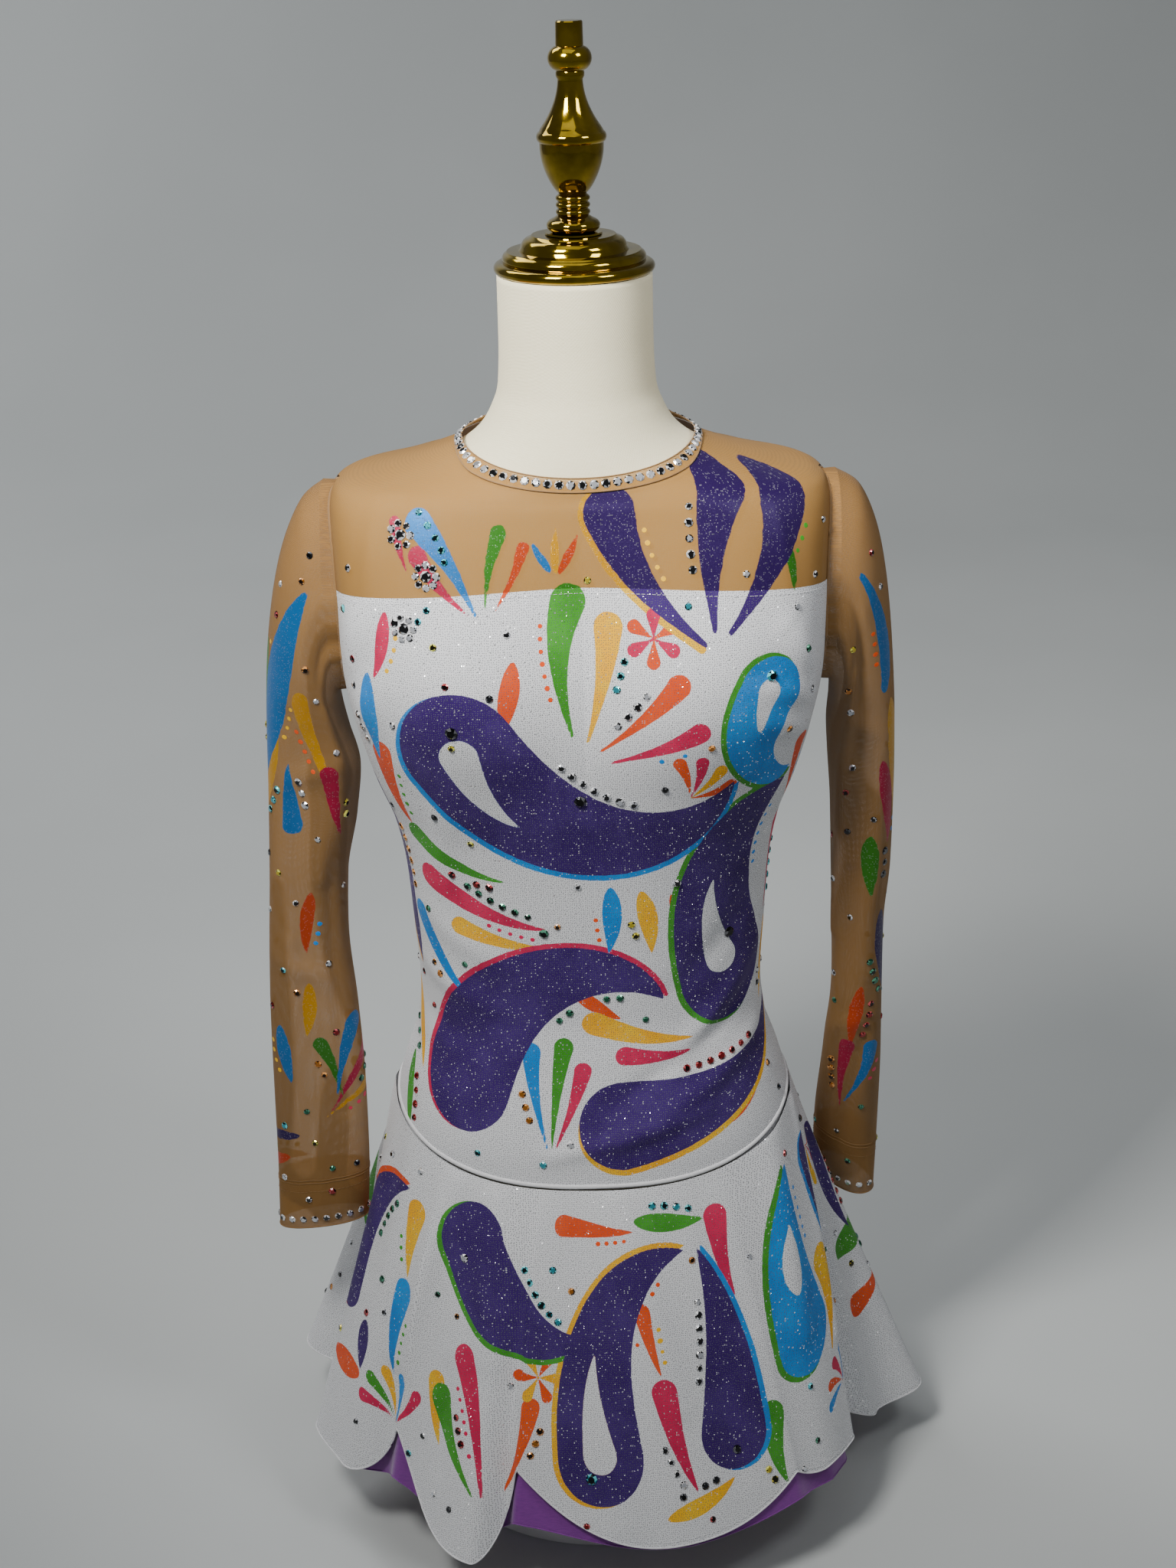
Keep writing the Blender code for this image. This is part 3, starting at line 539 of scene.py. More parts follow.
# %% Skirt
HemMark = namedtuple("HemMark", "azimuth radius height kind seam_azimuth")
HEM = [HemMark(*row) for row in (
    (-180.0, 0.2260, 0.050, "tip", -180.0),
    (-160.0, 0.1930, 0.094, "notch", -160.0),
    (-140.0, 0.2350, 0.052, "tip", -140.0),
    (-121.0, 0.2060, 0.088, "notch", -121.0),
    (-105.0, 0.2340, 0.052, "tip", -108.0),
    (-86.0, 0.1720, 0.062, "fold", -92.0),
    (-73.0, 0.2170, 0.059, "tip", -80.0),
    (-61.0, 0.2120, 0.057, "tip", -66.0),
    (-48.5, 0.1900, 0.104, "notch", -51.0),
    (-25.0, 0.2170, 0.045, "tip", -29.0),
    (-18.5, 0.1840, 0.105, "notch", -19.0),
    (16.0, 0.2050, 0.057, "tip", 14.0),
    (41.5, 0.2040, 0.081, "notch", 43.0),
    (50.0, 0.2090, 0.071, "tip", 58.0),
    (60.0, 0.2070, 0.068, "fold", 74.0),
    (71.0, 0.1700, 0.060, "fold", 83.0),
    (79.0, 0.2080, 0.042, "tip", 88.0),
    (90.0, 0.2430, 0.041, "tip", 95.0),
    (111.0, 0.2060, 0.084, "notch", 112.0),
    (135.0, 0.2320, 0.052, "tip", 135.0),
    (158.0, 0.1930, 0.092, "notch", 158.0),
    (180.0, 0.2260, 0.050, "tip", 180.0),
)]
SCALLOP_POWER, MEAN_RADIUS, FLUTE_POWER = 2.6, 0.205, 1.25
CONE_SHARE, CONE_REACH = 0.284, 0.51      # the skirt laid flat: share of a full turn, metres to its point
HEM_TIP, UNDERSKIRT_TIP = 0.050, 0.052    # heights of the lowest points
SEEN_FROM, SEEN_TO = -104, 97             # degrees of the hem that are drawn in finer steps
PIPING_RADIUS, PIPING_OUT, SKIRT_OUT = 0.0018, 0.0036, 0.0056
SKIRT_CREASES = rows_of(
    Crease,
    skirt=[
        # degrees round the form, millimetres down from the hip seam, height and half width in mm
        (-44, -10, -52, -150, 5.0, 8),
        (-66, -8, -66, -120, -1.8, 7),
        (-30, -14, -27, -120, 3.6, 8),
        (-8, -6, -4, -90, -1.8, 9),
        (10, -10, 18, -150, 4.2, 10),
        (34, -6, 38, -110, -1.8, 7),
        (52, -6, 50, -140, 4.6, 7),
        (67, -10, 62, -170, 4.2, 6),
        (85, -6, 82, -180, -1.8, 6),
        (-85, -6, -80, -150, 3.4, 7),
        (2, -120, 6, -226, 3.2, 8),
        (29, -130, 30, -205, -1.8, 7),
        (-37, -140, -36, -205, -1.8, 6),
        (128, -8, 130, -130, 4.2, 8),
        (165, -8, 168, -110, -1.8, 8),
        (-128, -8, -132, -130, 4.2, 8),
        (-150, -10, -150, -150, -1.8, 8),
        (-172, -10, -170, -120, 3.4, 9),
    ],
)


def hem_at(azimuth):
    """Radius and height of the hem, for degrees in an array."""
    azimuth = (azimuth + 180) % 360 - 180
    marks = np.array([row.azimuth for row in HEM])
    i = np.clip(np.searchsorted(marks, azimuth, side="right") - 1, 0, len(HEM) - 2)
    share = (azimuth - marks[i]) / (marks[i + 1] - marks[i])
    radius, height = (np.array([getattr(row, key) for row in HEM]) for key in ("radius", "height"))
    notch = np.array([row.kind == "notch" for row in HEM])
    eased = (1 - np.cos(np.pi * share)) / 2
    climb = np.where(notch[i], 1 - (1 - share) ** SCALLOP_POWER,
                     np.where(notch[i + 1], share**SCALLOP_POWER, eased))
    return radius[i] + (radius[i + 1] - radius[i]) * eased, height[i] + (height[i + 1] - height[i]) * climb


def seam_points(azimuth, drop, out):
    """Points of the hip seam that are seen at these degrees from the middle of the form."""
    wanted = np.radians(azimuth)
    low, high = wanted - 0.44, wanted + 0.44
    for _ in range(28):
        middle = (low + high) / 2
        point = bare(middle, place_at(hip_height(middle)))
        away = (np.arctan2(point[:, 0], -point[:, 1]) - wanted + math.pi) % (2 * math.pi) - math.pi
        low, high = np.where(away < 0, middle, low), np.where(away < 0, high, middle)
    middle = (low + high) / 2
    return body(middle, place_at(hip_height(middle) - drop), out)


def skirt_sheet(name, hem_azimuth, rows, first=0.0, inset=0.0, spread=0.0, follow=None):
    marks, seams = zip(*[(row.azimuth, row.seam_azimuth) for row in HEM])
    seam_azimuth = np.interp(hem_azimuth, marks, seams)
    start = seam_points(seam_azimuth, PIPING_RADIUS + 0.0003, SKIRT_OUT)
    hem_height = hem_at(hem_azimuth)[1]
    hem_radius = np.min([hem_at(hem_azimuth + side * spread)[0] for side in (-1, 0, 1)], axis=0)
    share = np.linspace(1, first, rows)[:, None] * np.ones(len(hem_azimuth))
    if follow is not None:
        low = UNDERSKIRT_TIP + follow * (hem_height - HEM_TIP)
        share = share * (start[:, 2] - low) / (start[:, 2] - hem_height)
    azimuth = np.radians(seam_azimuth + (hem_azimuth - seam_azimuth) * share)
    top = np.hypot(start[:, 0], start[:, 1])
    radius = top + (MEAN_RADIUS - top) * share + (hem_radius - MEAN_RADIUS) * share**FLUTE_POWER - inset
    z = start[:, 2] + (hem_height - start[:, 2]) * share
    points = np.stack([radius * np.sin(azimuth), -radius * np.cos(azimuth), z], -1)
    down = lengths(points[::-1], 0)[::-1]
    across = np.broadcast_to(hem_azimuth, down.shape)
    return Panel(name, points, across, -down, radius * math.pi / 180)


hem_steps = np.concatenate([
    np.arange(-180, SEEN_FROM, 1.0), np.arange(SEEN_FROM, SEEN_TO, 0.42),
    np.arange(SEEN_TO, 180, 1.0), [180.0]])
panels["skirt"] = creased(skirt_sheet("skirt", hem_steps, 146), SKIRT_CREASES)
panels["underskirt"] = skirt_sheet(
    "underskirt", np.linspace(-180, 180, 361), 36, first=0.20, inset=0.0026, spread=3.0, follow=0.30)
for name in ("skirt", "underskirt"):
    print(name, "cloth area", round(area_of(panels[name].points), 4), "square metres")


# %% [markdown]
# ## Neckband, brief and zip tape
#
# A narrow band finishes the neck and a brief is sewn in under the skirt, as on every skating dress.
# The back closes with a zip on a plain tape.

# %% Small pieces of cloth
def band_sheet(name, low, high, rows, azimuth, out):
    azimuth, t = azimuth[None, :], np.linspace(0, 1, rows)[:, None]
    place = place_at(low(azimuth)) * (1 - t) + place_at(high(azimuth)) * t
    points = body(azimuth, place, out)
    across = lengths(points)
    return plain_panel(name, points, across - across[:, :1])


def band_high(azimuth):
    return edge_height(BAND_TOP, azimuth)


def brief_low(azimuth):
    return edge_height(BRIEF_LEG, azimuth, 1.4)


def brief_high(azimuth):
    return hip_height(azimuth) - 2 * PIPING_RADIUS


ring = np.linspace(-math.pi, math.pi, 241)
panels["neckband"] = band_sheet("neckband", band_low, band_high, 14, ring, CLOTH_OUT + 0.0003)
panels["brief"] = band_sheet("brief", brief_low, brief_high, 40, ring[::2], 0.0026)

ZIP_LOW, ZIP_HIGH, ZIP_HALF = 0.455, BAND_BOTTOM.back - 0.002, 0.0080
zip_place = np.linspace(place_at(ZIP_LOW), place_at(ZIP_HIGH), 90)[:, None]
zip_half = np.arcsin(ZIP_HALF / smooth(BODY_COLUMNS[1], zip_place))
zip_points = body(math.pi + zip_half * np.linspace(-1, 1, 9)[None, :], zip_place, CLOTH_OUT + 0.0016)
panels["back_zip"] = plain_panel("back_zip", zip_points, lengths(zip_points))
for name in ("neckband", "brief", "back_zip"):
    print(name, "cloth area", round(area_of(panels[name].points), 4), "square metres")


# %% [markdown]
# ## Round trims
#
# Piping, rolled hems and overlocked seams are all a thin tube that follows an edge. One helper sweeps
# a ring of points along the edge, so each trim stays on the cloth that carries it.

# %% Tubes along an edge
def tube(points, radius, sides, closed=False):
    """Vertices and faces of a tube; the radius can change along it."""
    points = np.asarray(points, float)
    count = len(points)
    ahead = np.roll(points, -1, 0) if closed else np.concatenate([points[1:], points[-1:]])
    behind = np.roll(points, 1, 0) if closed else np.concatenate([points[:1], points[:-1]])
    run = ahead - behind
    run /= np.maximum(np.linalg.norm(run, axis=1, keepdims=True), 1e-9)
    guide = np.where(np.abs(run[:, 2:]) > 0.9, (1.0, 0.0, 0.0), (0.0, 0.0, 1.0))
    side = np.cross(run, guide)
    side /= np.linalg.norm(side, axis=1, keepdims=True)
    other = np.cross(run, side)
    turn = np.linspace(0, 2 * np.pi, sides, endpoint=False)
    radius = np.broadcast_to(np.asarray(radius, float), count)[:, None, None]
    spokes = np.cos(turn)[:, None] * side[:, None] + np.sin(turn)[:, None] * other[:, None]
    ring = points[:, None] + radius * spokes
    index = np.arange(count * sides).reshape(count, sides)
    after = np.roll(index, -1, 1)
    low, high = (index, np.roll(index, -1, 0)) if closed else (index[:-1], index[1:])
    low_after, high_after = (after, np.roll(after, -1, 0)) if closed else (after[:-1], after[1:])
    faces = np.stack([low, high, high_after, low_after], -1).reshape(-1, 4)
    return ring.reshape(-1, 3), faces


def joined(name, parts, material, smooth_faces=True):
    """One object from many small (vertices, faces) parts."""
    start, verts, faces = 0, [], []
    for part_verts, part_faces in parts:
        verts.append(part_verts)
        faces.extend([tuple(int(i) + start for i in face) for face in part_faces])
        start += len(part_verts)
    return placed_mesh(name, np.concatenate(verts), faces, material, smooth_faces)


# %% [markdown]
# ## Reusable effects
#
# Glitter dots, weave and paint appear on several cloths. Each effect is a node group that gives out
# masks, colours and heights, and each cloth puts it in its own material with its own values.

# %% Node helpers
def add(tree, kind, inputs=None, **settings):
    node = tree.nodes.new("ShaderNode" + kind)
    for key, value in settings.items():
        setattr(node, key, value)
    for key, value in (inputs or {}).items():
        if isinstance(value, bpy.types.NodeSocket):
            tree.links.new(value, node.inputs[key])
        else:
            node.inputs[key].default_value = value
    return node


def calc(tree, operation, first, second=0.0, third=0.0):
    return add(tree, "Math", {0: first, 1: second, 2: third}, operation=operation).outputs[0]


def blended(tree, share, first, second, mode="MIX"):
    node = add(tree, "Mix", data_type="RGBA", blend_type=mode)
    for socket, value in ((node.inputs[0], share), (node.inputs[6], first), (node.inputs[7], second)):
        if isinstance(value, bpy.types.NodeSocket):
            tree.links.new(value, socket)
        else:
            socket.default_value = value
    return node.outputs[2]


def lighter(colour, gain, lift=0.0):
    return tuple(min(1.0, gain * v + lift) for v in colour[:3]) + (1.0,)


def between(tree, value, low, high, to_low=0.0, to_high=1.0):
    inputs = {"Value": value, "From Min": low, "From Max": high, "To Min": to_low, "To Max": to_high}
    return add(tree, "MapRange", inputs, interpolation_type="SMOOTHSTEP").outputs[0]


def attribute(tree, name):
    return add(tree, "Attribute", attribute_name=name, attribute_type="GEOMETRY").outputs["Fac"]


def new_group(name, inputs, outputs):
    group = bpy.data.node_groups.new(name, "ShaderNodeTree")
    for label, kind, value in inputs:
        socket = group.interface.new_socket(label, in_out="INPUT", socket_type="NodeSocket" + kind)
        socket.default_value = value
    for label, kind in outputs:
        group.interface.new_socket(label, in_out="OUTPUT", socket_type="NodeSocket" + kind)
    return group, group.nodes.new("NodeGroupInput").outputs, group.nodes.new("NodeGroupOutput").inputs


def use_group(tree, group, values=None):
    return add(tree, "Group", values, node_tree=group).outputs


def new_material(name, **sockets):
    material = bpy.data.materials.new(name)
    material.use_nodes = True
    shader = material.node_tree.nodes["Principled BSDF"]
    for key, value in sockets.items():
        shader.inputs[key.replace("_", " ")].default_value = value
    return material, material.node_tree, shader


def bumped(tree, shader, height, distance, strength=1.0):
    bump = add(tree, "Bump", {"Height": height, "Distance": distance, "Strength": strength})
    tree.links.new(bump.outputs[0], shader.inputs["Normal"])
    return bump


# %% [markdown]
# ### Glitter dots
#
# Glitter jersey is printed with tiny dots of glue and foil, about two millimetres apart. A Voronoi
# texture on the flat cloth gives one dot a cell. A few cells are bright foil, tilted their own way.

# %% Glitter dots
glitter_dots, given, out = new_group(
    "glitter_dots",
    [("Pitch mm", "Float", 2.3), ("Dot mm", "Float", 0.32), ("Bright Share", "Float", 0.07)],
    [("Dots", "Float"), ("Bright", "Float"), ("Tilt", "Float")])
flat = add(glitter_dots, "UVMap", uv_map="cloth").outputs[0]
per_metre = calc(glitter_dots, "DIVIDE", 1000.0, given["Pitch mm"])
cells = add(glitter_dots, "TexVoronoi", {"Vector": flat, "Scale": per_metre, "Randomness": 0.55},
            voronoi_dimensions="2D", feature="F1")
away_mm = calc(glitter_dots, "MULTIPLY", cells.outputs["Distance"], given["Pitch mm"])
chance = add(glitter_dots, "SeparateColor", {0: cells.outputs["Color"]}).outputs
bright_cell = calc(glitter_dots, "LESS_THAN", chance[0], given["Bright Share"])
bright_size = calc(glitter_dots, "MULTIPLY_ADD", chance[1], 0.22, given["Dot mm"])
size_mm = calc(glitter_dots, "MULTIPLY_ADD", bright_cell,
               calc(glitter_dots, "SUBTRACT", bright_size, given["Dot mm"]), given["Dot mm"])
inside = calc(glitter_dots, "LESS_THAN", away_mm, size_mm)
plain_cell = calc(glitter_dots, "SUBTRACT", 1.0, bright_cell)
glitter_dots.links.new(calc(glitter_dots, "MULTIPLY", inside, plain_cell), out["Dots"])
glitter_dots.links.new(calc(glitter_dots, "MULTIPLY", inside, bright_cell), out["Bright"])
from_middle = add(glitter_dots, "VectorMath", {0: flat, 1: cells.outputs["Position"]}, operation="SUBTRACT")
from_middle = add(glitter_dots, "SeparateXYZ", {0: from_middle.outputs[0]}).outputs
tilt_across, tilt_up = (calc(glitter_dots, "SUBTRACT", chance[i], 0.5) for i in (2, 1))
slope = calc(glitter_dots, "MULTIPLY_ADD", from_middle[0], tilt_across,
             calc(glitter_dots, "MULTIPLY", from_middle[1], tilt_up))
glitter_dots.links.new(calc(glitter_dots, "MULTIPLY", slope, inside), out["Tilt"])
print("node group", glitter_dots.name, "has", len(glitter_dots.nodes), "nodes")


# %% [markdown]
# ### Weave, knit and paint
#
# `soft_noise` gives the clouds that uneven cloth, dust, smears and grain are made from. `fine_weave`
# crosses two waves for linen and tape. `mesh_knit` is a net: thread where the mask is 1 and holes
# between. `painted_layers` reads how far each point lies from the edge of each painted stroke, in
# millimetres, and lays the six fabric paints over the cloth with slightly uneven edges.

# %% Noise, weave and knit
soft_noise, given, out = new_group(
    "soft_noise", [("Scale", "Float", 100.0), ("Detail", "Float", 2.0)], [("Value", "Float")])
place = add(soft_noise, "TexCoord").outputs["Object"]
clouds = add(soft_noise, "TexNoise", {"Vector": place, "Scale": given["Scale"], "Detail": given["Detail"]})
soft_noise.links.new(clouds.outputs[0], out["Value"])


def noise(tree, scale, detail=2.0):
    """The group in a material, with the material's own scale; larger is finer."""
    return use_group(tree, soft_noise, {"Scale": scale, "Detail": detail})["Value"]


fine_weave, given, out = new_group(
    "fine_weave", [("Threads per mm", "Float", 1.2), ("Uneven", "Float", 0.4)],
    [("Height", "Float"), ("Slub", "Float")])
place = add(fine_weave, "TexCoord").outputs["Object"]
scaled = calc(fine_weave, "MULTIPLY", given["Threads per mm"], 1000.0 * math.pi)
axis = add(fine_weave, "SeparateXYZ", {0: place}).outputs
sideways = calc(fine_weave, "ADD", axis[0], axis[1])
warp = calc(fine_weave, "SINE", calc(fine_weave, "MULTIPLY", sideways, scaled))
weft = calc(fine_weave, "SINE", calc(fine_weave, "MULTIPLY", axis[2], scaled))
long_cells = add(fine_weave, "Mapping", {"Vector": place, "Scale": (260.0, 260.0, 1400.0)}).outputs[0]
slub = add(fine_weave, "TexNoise", {"Vector": long_cells, "Scale": 1.0, "Detail": 3.0}).outputs[0]
woven = calc(fine_weave, "MULTIPLY_ADD", calc(fine_weave, "MULTIPLY", warp, weft), 0.5, 0.5)
fine_weave.links.new(calc(fine_weave, "MULTIPLY_ADD", slub, given["Uneven"], woven), out["Height"])
fine_weave.links.new(slub, out["Slub"])

mesh_knit, given, out = new_group(
    "mesh_knit", [("Holes per mm", "Float", 1.4), ("Solid Share", "Float", 0.55)],
    [("Thread", "Float"), ("Height", "Float")])
flat = add(mesh_knit, "UVMap", uv_map="cloth").outputs[0]
holes_per_metre = calc(mesh_knit, "MULTIPLY", given["Holes per mm"], 1000.0)
net = add(mesh_knit, "TexVoronoi", {"Vector": flat, "Randomness": 0.25, "Scale": holes_per_metre},
          voronoi_dimensions="2D", feature="F1").outputs["Distance"]
cloud = add(mesh_knit, "TexNoise", {"Vector": flat, "Scale": 45.0, "Detail": 4.0}).outputs[0]
open_share = calc(mesh_knit, "SUBTRACT", 1.0, given["Solid Share"])
solid = calc(mesh_knit, "ADD", given["Solid Share"], calc(mesh_knit, "MULTIPLY", open_share, 0.10))
thread = between(mesh_knit, calc(mesh_knit, "MULTIPLY_ADD", cloud, 0.12, net), 0.10, 0.55)
thread = calc(mesh_knit, "MULTIPLY_ADD", calc(mesh_knit, "SUBTRACT", thread, 0.5), 0.5, solid)
mesh_knit.links.new(thread, out["Thread"])
mesh_knit.links.new(net, out["Height"])
for group in (soft_noise, fine_weave, mesh_knit):
    print("node group", group.name, "has", len(group.nodes), "nodes")

# %% Paint
COLOURS = {
    "orange": srgb(232, 76, 12), "yellow": srgb(250, 178, 0), "raspberry": srgb(202, 20, 76),
    "green": srgb(54, 144, 24), "blue": srgb(14, 130, 214), "purple": srgb(52, 19, 100),
}
painted_layers, given, out = new_group(
    "painted_layers",
    [("Cloth", "Color", (0.8, 0.8, 0.8, 1.0)), ("Edge mm", "Float", 0.35), ("Wobble mm", "Float", 0.8),
     ("Cloudy", "Float", 0.35)],
    [("Color", "Color"), ("Paint", "Float")])
place = add(painted_layers, "TexCoord").outputs["Object"]
wobble = add(painted_layers, "TexNoise", {"Vector": place, "Scale": 150.0, "Detail": 3.0}).outputs[0]
wobble = calc(painted_layers, "MULTIPLY", calc(painted_layers, "SUBTRACT", wobble, 0.5), given["Wobble mm"])
cloud = add(painted_layers, "TexNoise", {"Vector": place, "Scale": 26.0, "Detail": 5.0, "Roughness": 0.65})
cloud = between(painted_layers, cloud.outputs[0], 0.38, 0.68)
colour, covered = given["Cloth"], 0.0
for name, paint in COLOURS.items():
    distance = attribute(painted_layers, "paint_" + name)
    edge = calc(painted_layers, "DIVIDE", calc(painted_layers, "ADD", distance, wobble), given["Edge mm"])
    mask = add(painted_layers, "Clamp", {0: calc(painted_layers, "SUBTRACT", 0.5, edge)}).outputs[0]
    streaks = calc(painted_layers, "MULTIPLY", cloud, given["Cloudy"])
    streaky = blended(painted_layers, streaks, paint, lighter(paint, 1.7, 0.03))
    colour = blended(painted_layers, mask, colour, streaky)
    covered = calc(painted_layers, "MAXIMUM", mask, covered)
painted_layers.links.new(colour, out["Color"])
painted_layers.links.new(covered, out["Paint"])
print("node group", painted_layers.name, "has", len(painted_layers.nodes), "nodes")


# %% [markdown]
# ## Materials
#
# White glitter jersey, nude mesh, plain violet jersey, white bound piping, zip tape, ivory linen,
# polished gold and white plastic, as the record's slots name them.

# %% Cloth materials
def lit(tree, shader, **links):
    for key, socket in links.items():
        tree.links.new(socket, shader.inputs[key.replace("_", " ")])


white_cloth, tree, shader = new_material(
    "white_glitter_cloth", Sheen_Weight=0.06, Sheen_Roughness=0.4, Specular_IOR_Level=0.3)
dots = use_group(tree, glitter_dots, {"Pitch mm": 1.4, "Dot mm": 0.29, "Bright Share": 0.08})
paint = use_group(tree, painted_layers, {"Cloth": srgb(232, 233, 236), "Cloudy": 0.42})
under_dots = calc(tree, "MULTIPLY", dots["Dots"], 0.85)
speckled = blended(tree, under_dots, paint["Color"], srgb(96, 96, 106))
lit(tree, shader,
    Base_Color=blended(tree, dots["Bright"], speckled, (0.95, 0.95, 0.97, 1.0)),
    Metallic=calc(tree, "MULTIPLY", dots["Bright"], 0.7),
    Roughness=between(tree, dots["Bright"], 0.0, 1.0, 0.72, 0.22))
foil = bumped(tree, shader, dots["Tilt"], 1.0)
weave = add(tree, "Bump", {"Height": noise(tree, 900.0), "Distance": 0.00025, "Strength": 0.35})
tree.links.new(weave.outputs[0], foil.inputs["Normal"])


def glitter_mesh_material(name, solid_share, cloth_colour):
    material, tree, shader = new_material(name, Sheen_Weight=0.04, Specular_IOR_Level=0.25)
    knit = use_group(tree, mesh_knit, {"Holes per mm": 1.5, "Solid Share": solid_share})
    # denser mesh and painted shade: in the bands where the sleeve lies folded double, and where the sheet is
    # seen edge-on, the mesh is more opaque and its colour is painted darker
    doubled_and_shaded = attribute(tree, "doubled_and_shaded")
    edge_on = add(tree, "LayerWeight", {"Blend": 0.30}).outputs["Facing"]
    dense_and_shaded = calc(tree, "MAXIMUM", between(tree, doubled_and_shaded, 0.25, 0.5, 0.0, 0.62),
                 calc(tree, "MULTIPLY", edge_on, 0.85))
    paint = use_group(tree, painted_layers, {
        "Cloth": cloth_colour, "Edge mm": 0.5, "Wobble mm": 2.2, "Cloudy": 0.12})
    dots = use_group(tree, glitter_dots, {"Pitch mm": 0.9, "Dot mm": 0.20, "Bright Share": 0.16})
    sparkle = calc(tree, "MULTIPLY", calc(tree, "MULTIPLY", dots["Bright"], paint["Paint"]), 0.16)
    bare_dense_and_shaded = calc(tree, "MULTIPLY", dense_and_shaded, calc(tree, "SUBTRACT", 1.0, paint["Paint"]))
    colour = blended(tree, calc(tree, "MULTIPLY", paint["Paint"], 0.42), paint["Color"], (0.0, 0.0, 0.0, 1.0))
    # painted shade: bare mesh in those bands is darkened towards 42 percent of its own colour
    colour = blended(tree, bare_dense_and_shaded, colour, lighter(cloth_colour, 0.42))
    lit(tree, shader,
        Base_Color=blended(tree, sparkle, colour, (0.9, 0.9, 0.9, 1.0)),
        Metallic=calc(tree, "MULTIPLY", paint["Paint"], 0.2),
        Roughness=between(tree, paint["Paint"], 0.0, 1.0, 0.72, 0.42),
        Alpha=calc(tree, "MAXIMUM", calc(tree, "MULTIPLY_ADD", dense_and_shaded, 0.35, knit["Thread"]),
                   calc(tree, "MULTIPLY", paint["Paint"], 0.97)))
    foil = bumped(tree, shader, calc(tree, "MULTIPLY", dots["Tilt"], paint["Paint"]), 1.0)
    thread = add(tree, "Bump", {"Height": knit["Height"], "Distance": 0.0001, "Strength": 0.2})
    tree.links.new(thread.outputs[0], foil.inputs["Normal"])
    return material


# The sleeves' copy of the mesh has a more open knit and a colour painted a little darker than the yoke's, as
# painted shade on the sleeves.
nude_mesh = glitter_mesh_material("nude_mesh", 0.66, srgb(176, 130, 66))
nude_mesh_sleeve_shaded = glitter_mesh_material("nude_mesh_sleeve_shaded", 0.52, srgb(166, 122, 66))


def woven_cloth(name, sheen, threads, uneven, dark, light, bump, rough=None):
    """Plain woven cloth: its slubs go from dark to light, and from the low to the high roughness."""
    material, tree, shader = new_material(name, Sheen_Weight=sheen, Roughness=0.6)
    weave = use_group(tree, fine_weave, {"Threads per mm": threads, "Uneven": uneven})
    lit(tree, shader, Base_Color=blended(tree, weave["Slub"], srgb(*dark), srgb(*light)))
    if rough:
        lit(tree, shader, Roughness=between(tree, weave["Slub"], 0.2, 0.8, *rough))
    bumped(tree, shader, weave["Height"], *bump)
    return material


violet_cloth = woven_cloth(
    "violet_cloth", 0.4, 1.6, 0.5, (104, 36, 128), (142, 58, 160), (0.0001, 0.4))
white_piping = woven_cloth(
    "white_piping", 0.3, 1.5, 0.3, (214, 214, 218), (240, 240, 242), (0.00012, 0.5), (0.55, 0.75))
zip_tape = woven_cloth(
    "zip_tape", 0.2, 1.0, 0.3, (196, 186, 170), (222, 214, 200), (0.0002, 0.6), (0.65, 0.85))
seam_thread = woven_cloth(
    "seam_thread", 0.2, 2.0, 0.6, (120, 88, 48), (160, 122, 74), (0.0001, 0.5), (0.6, 0.8))
ivory_linen = woven_cloth(
    "ivory_linen", 0.15, 0.9, 0.9, (240, 230, 192), (250, 243, 212), (0.00012, 0.5), (0.78, 0.92))
print("cloth materials:", *[material.name for material in (
    white_cloth, nude_mesh, nude_mesh_sleeve_shaded, violet_cloth, white_piping, zip_tape, seam_thread, ivory_linen)])

# %% Hard materials
polished_gold, tree, shader = new_material(
    "polished_gold", Metallic=1.0, Coat_Weight=0.3, Coat_Roughness=0.05)
smear = noise(tree, 60.0, 4.0)
lit(tree, shader,
    Base_Color=blended(tree, between(tree, smear, 0.35, 0.7), srgb(146, 120, 12), srgb(184, 154, 28)),
    Roughness=between(tree, smear, 0.3, 0.75, 0.05, 0.12))
bumped(tree, shader, smear, 0.0002, 0.15)

white_plastic, tree, shader = new_material("white_plastic", Coat_Weight=0.2, Coat_Roughness=0.2)
dust = noise(tree, 25.0, 6.0)
lit(tree, shader,
    Base_Color=blended(tree, between(tree, dust, 0.45, 0.8), srgb(232, 232, 232), srgb(208, 207, 203)),
    Roughness=between(tree, dust, 0.3, 0.8, 0.34, 0.5))
bumped(tree, shader, noise(tree, 1200.0), 0.00008, 0.4)

zip_nylon, tree, shader = new_material("zip_nylon", Coat_Weight=0.1)
grain = noise(tree, 500.0)
lit(tree, shader, Base_Color=blended(tree, grain, srgb(206, 198, 182), srgb(226, 220, 206)),
    Roughness=between(tree, grain, 0.3, 0.7, 0.35, 0.5))
print("hard materials:", polished_gold.name, white_plastic.name, zip_nylon.name)


# %% [markdown]
# ## Sewing the pieces together
#
# Every sheet becomes an object with its flat layout as a UV map in metres.

# %% Show the cloth pieces
def cloth_uv(panel):
    if panel.name not in ("skirt", "underskirt"):
        return np.stack([panel.across, panel.up], -1)
    turn, reach = np.radians(panel.across) * CONE_SHARE, CONE_REACH - panel.up
    return np.stack([reach * np.sin(turn), -reach * np.cos(turn)], -1)


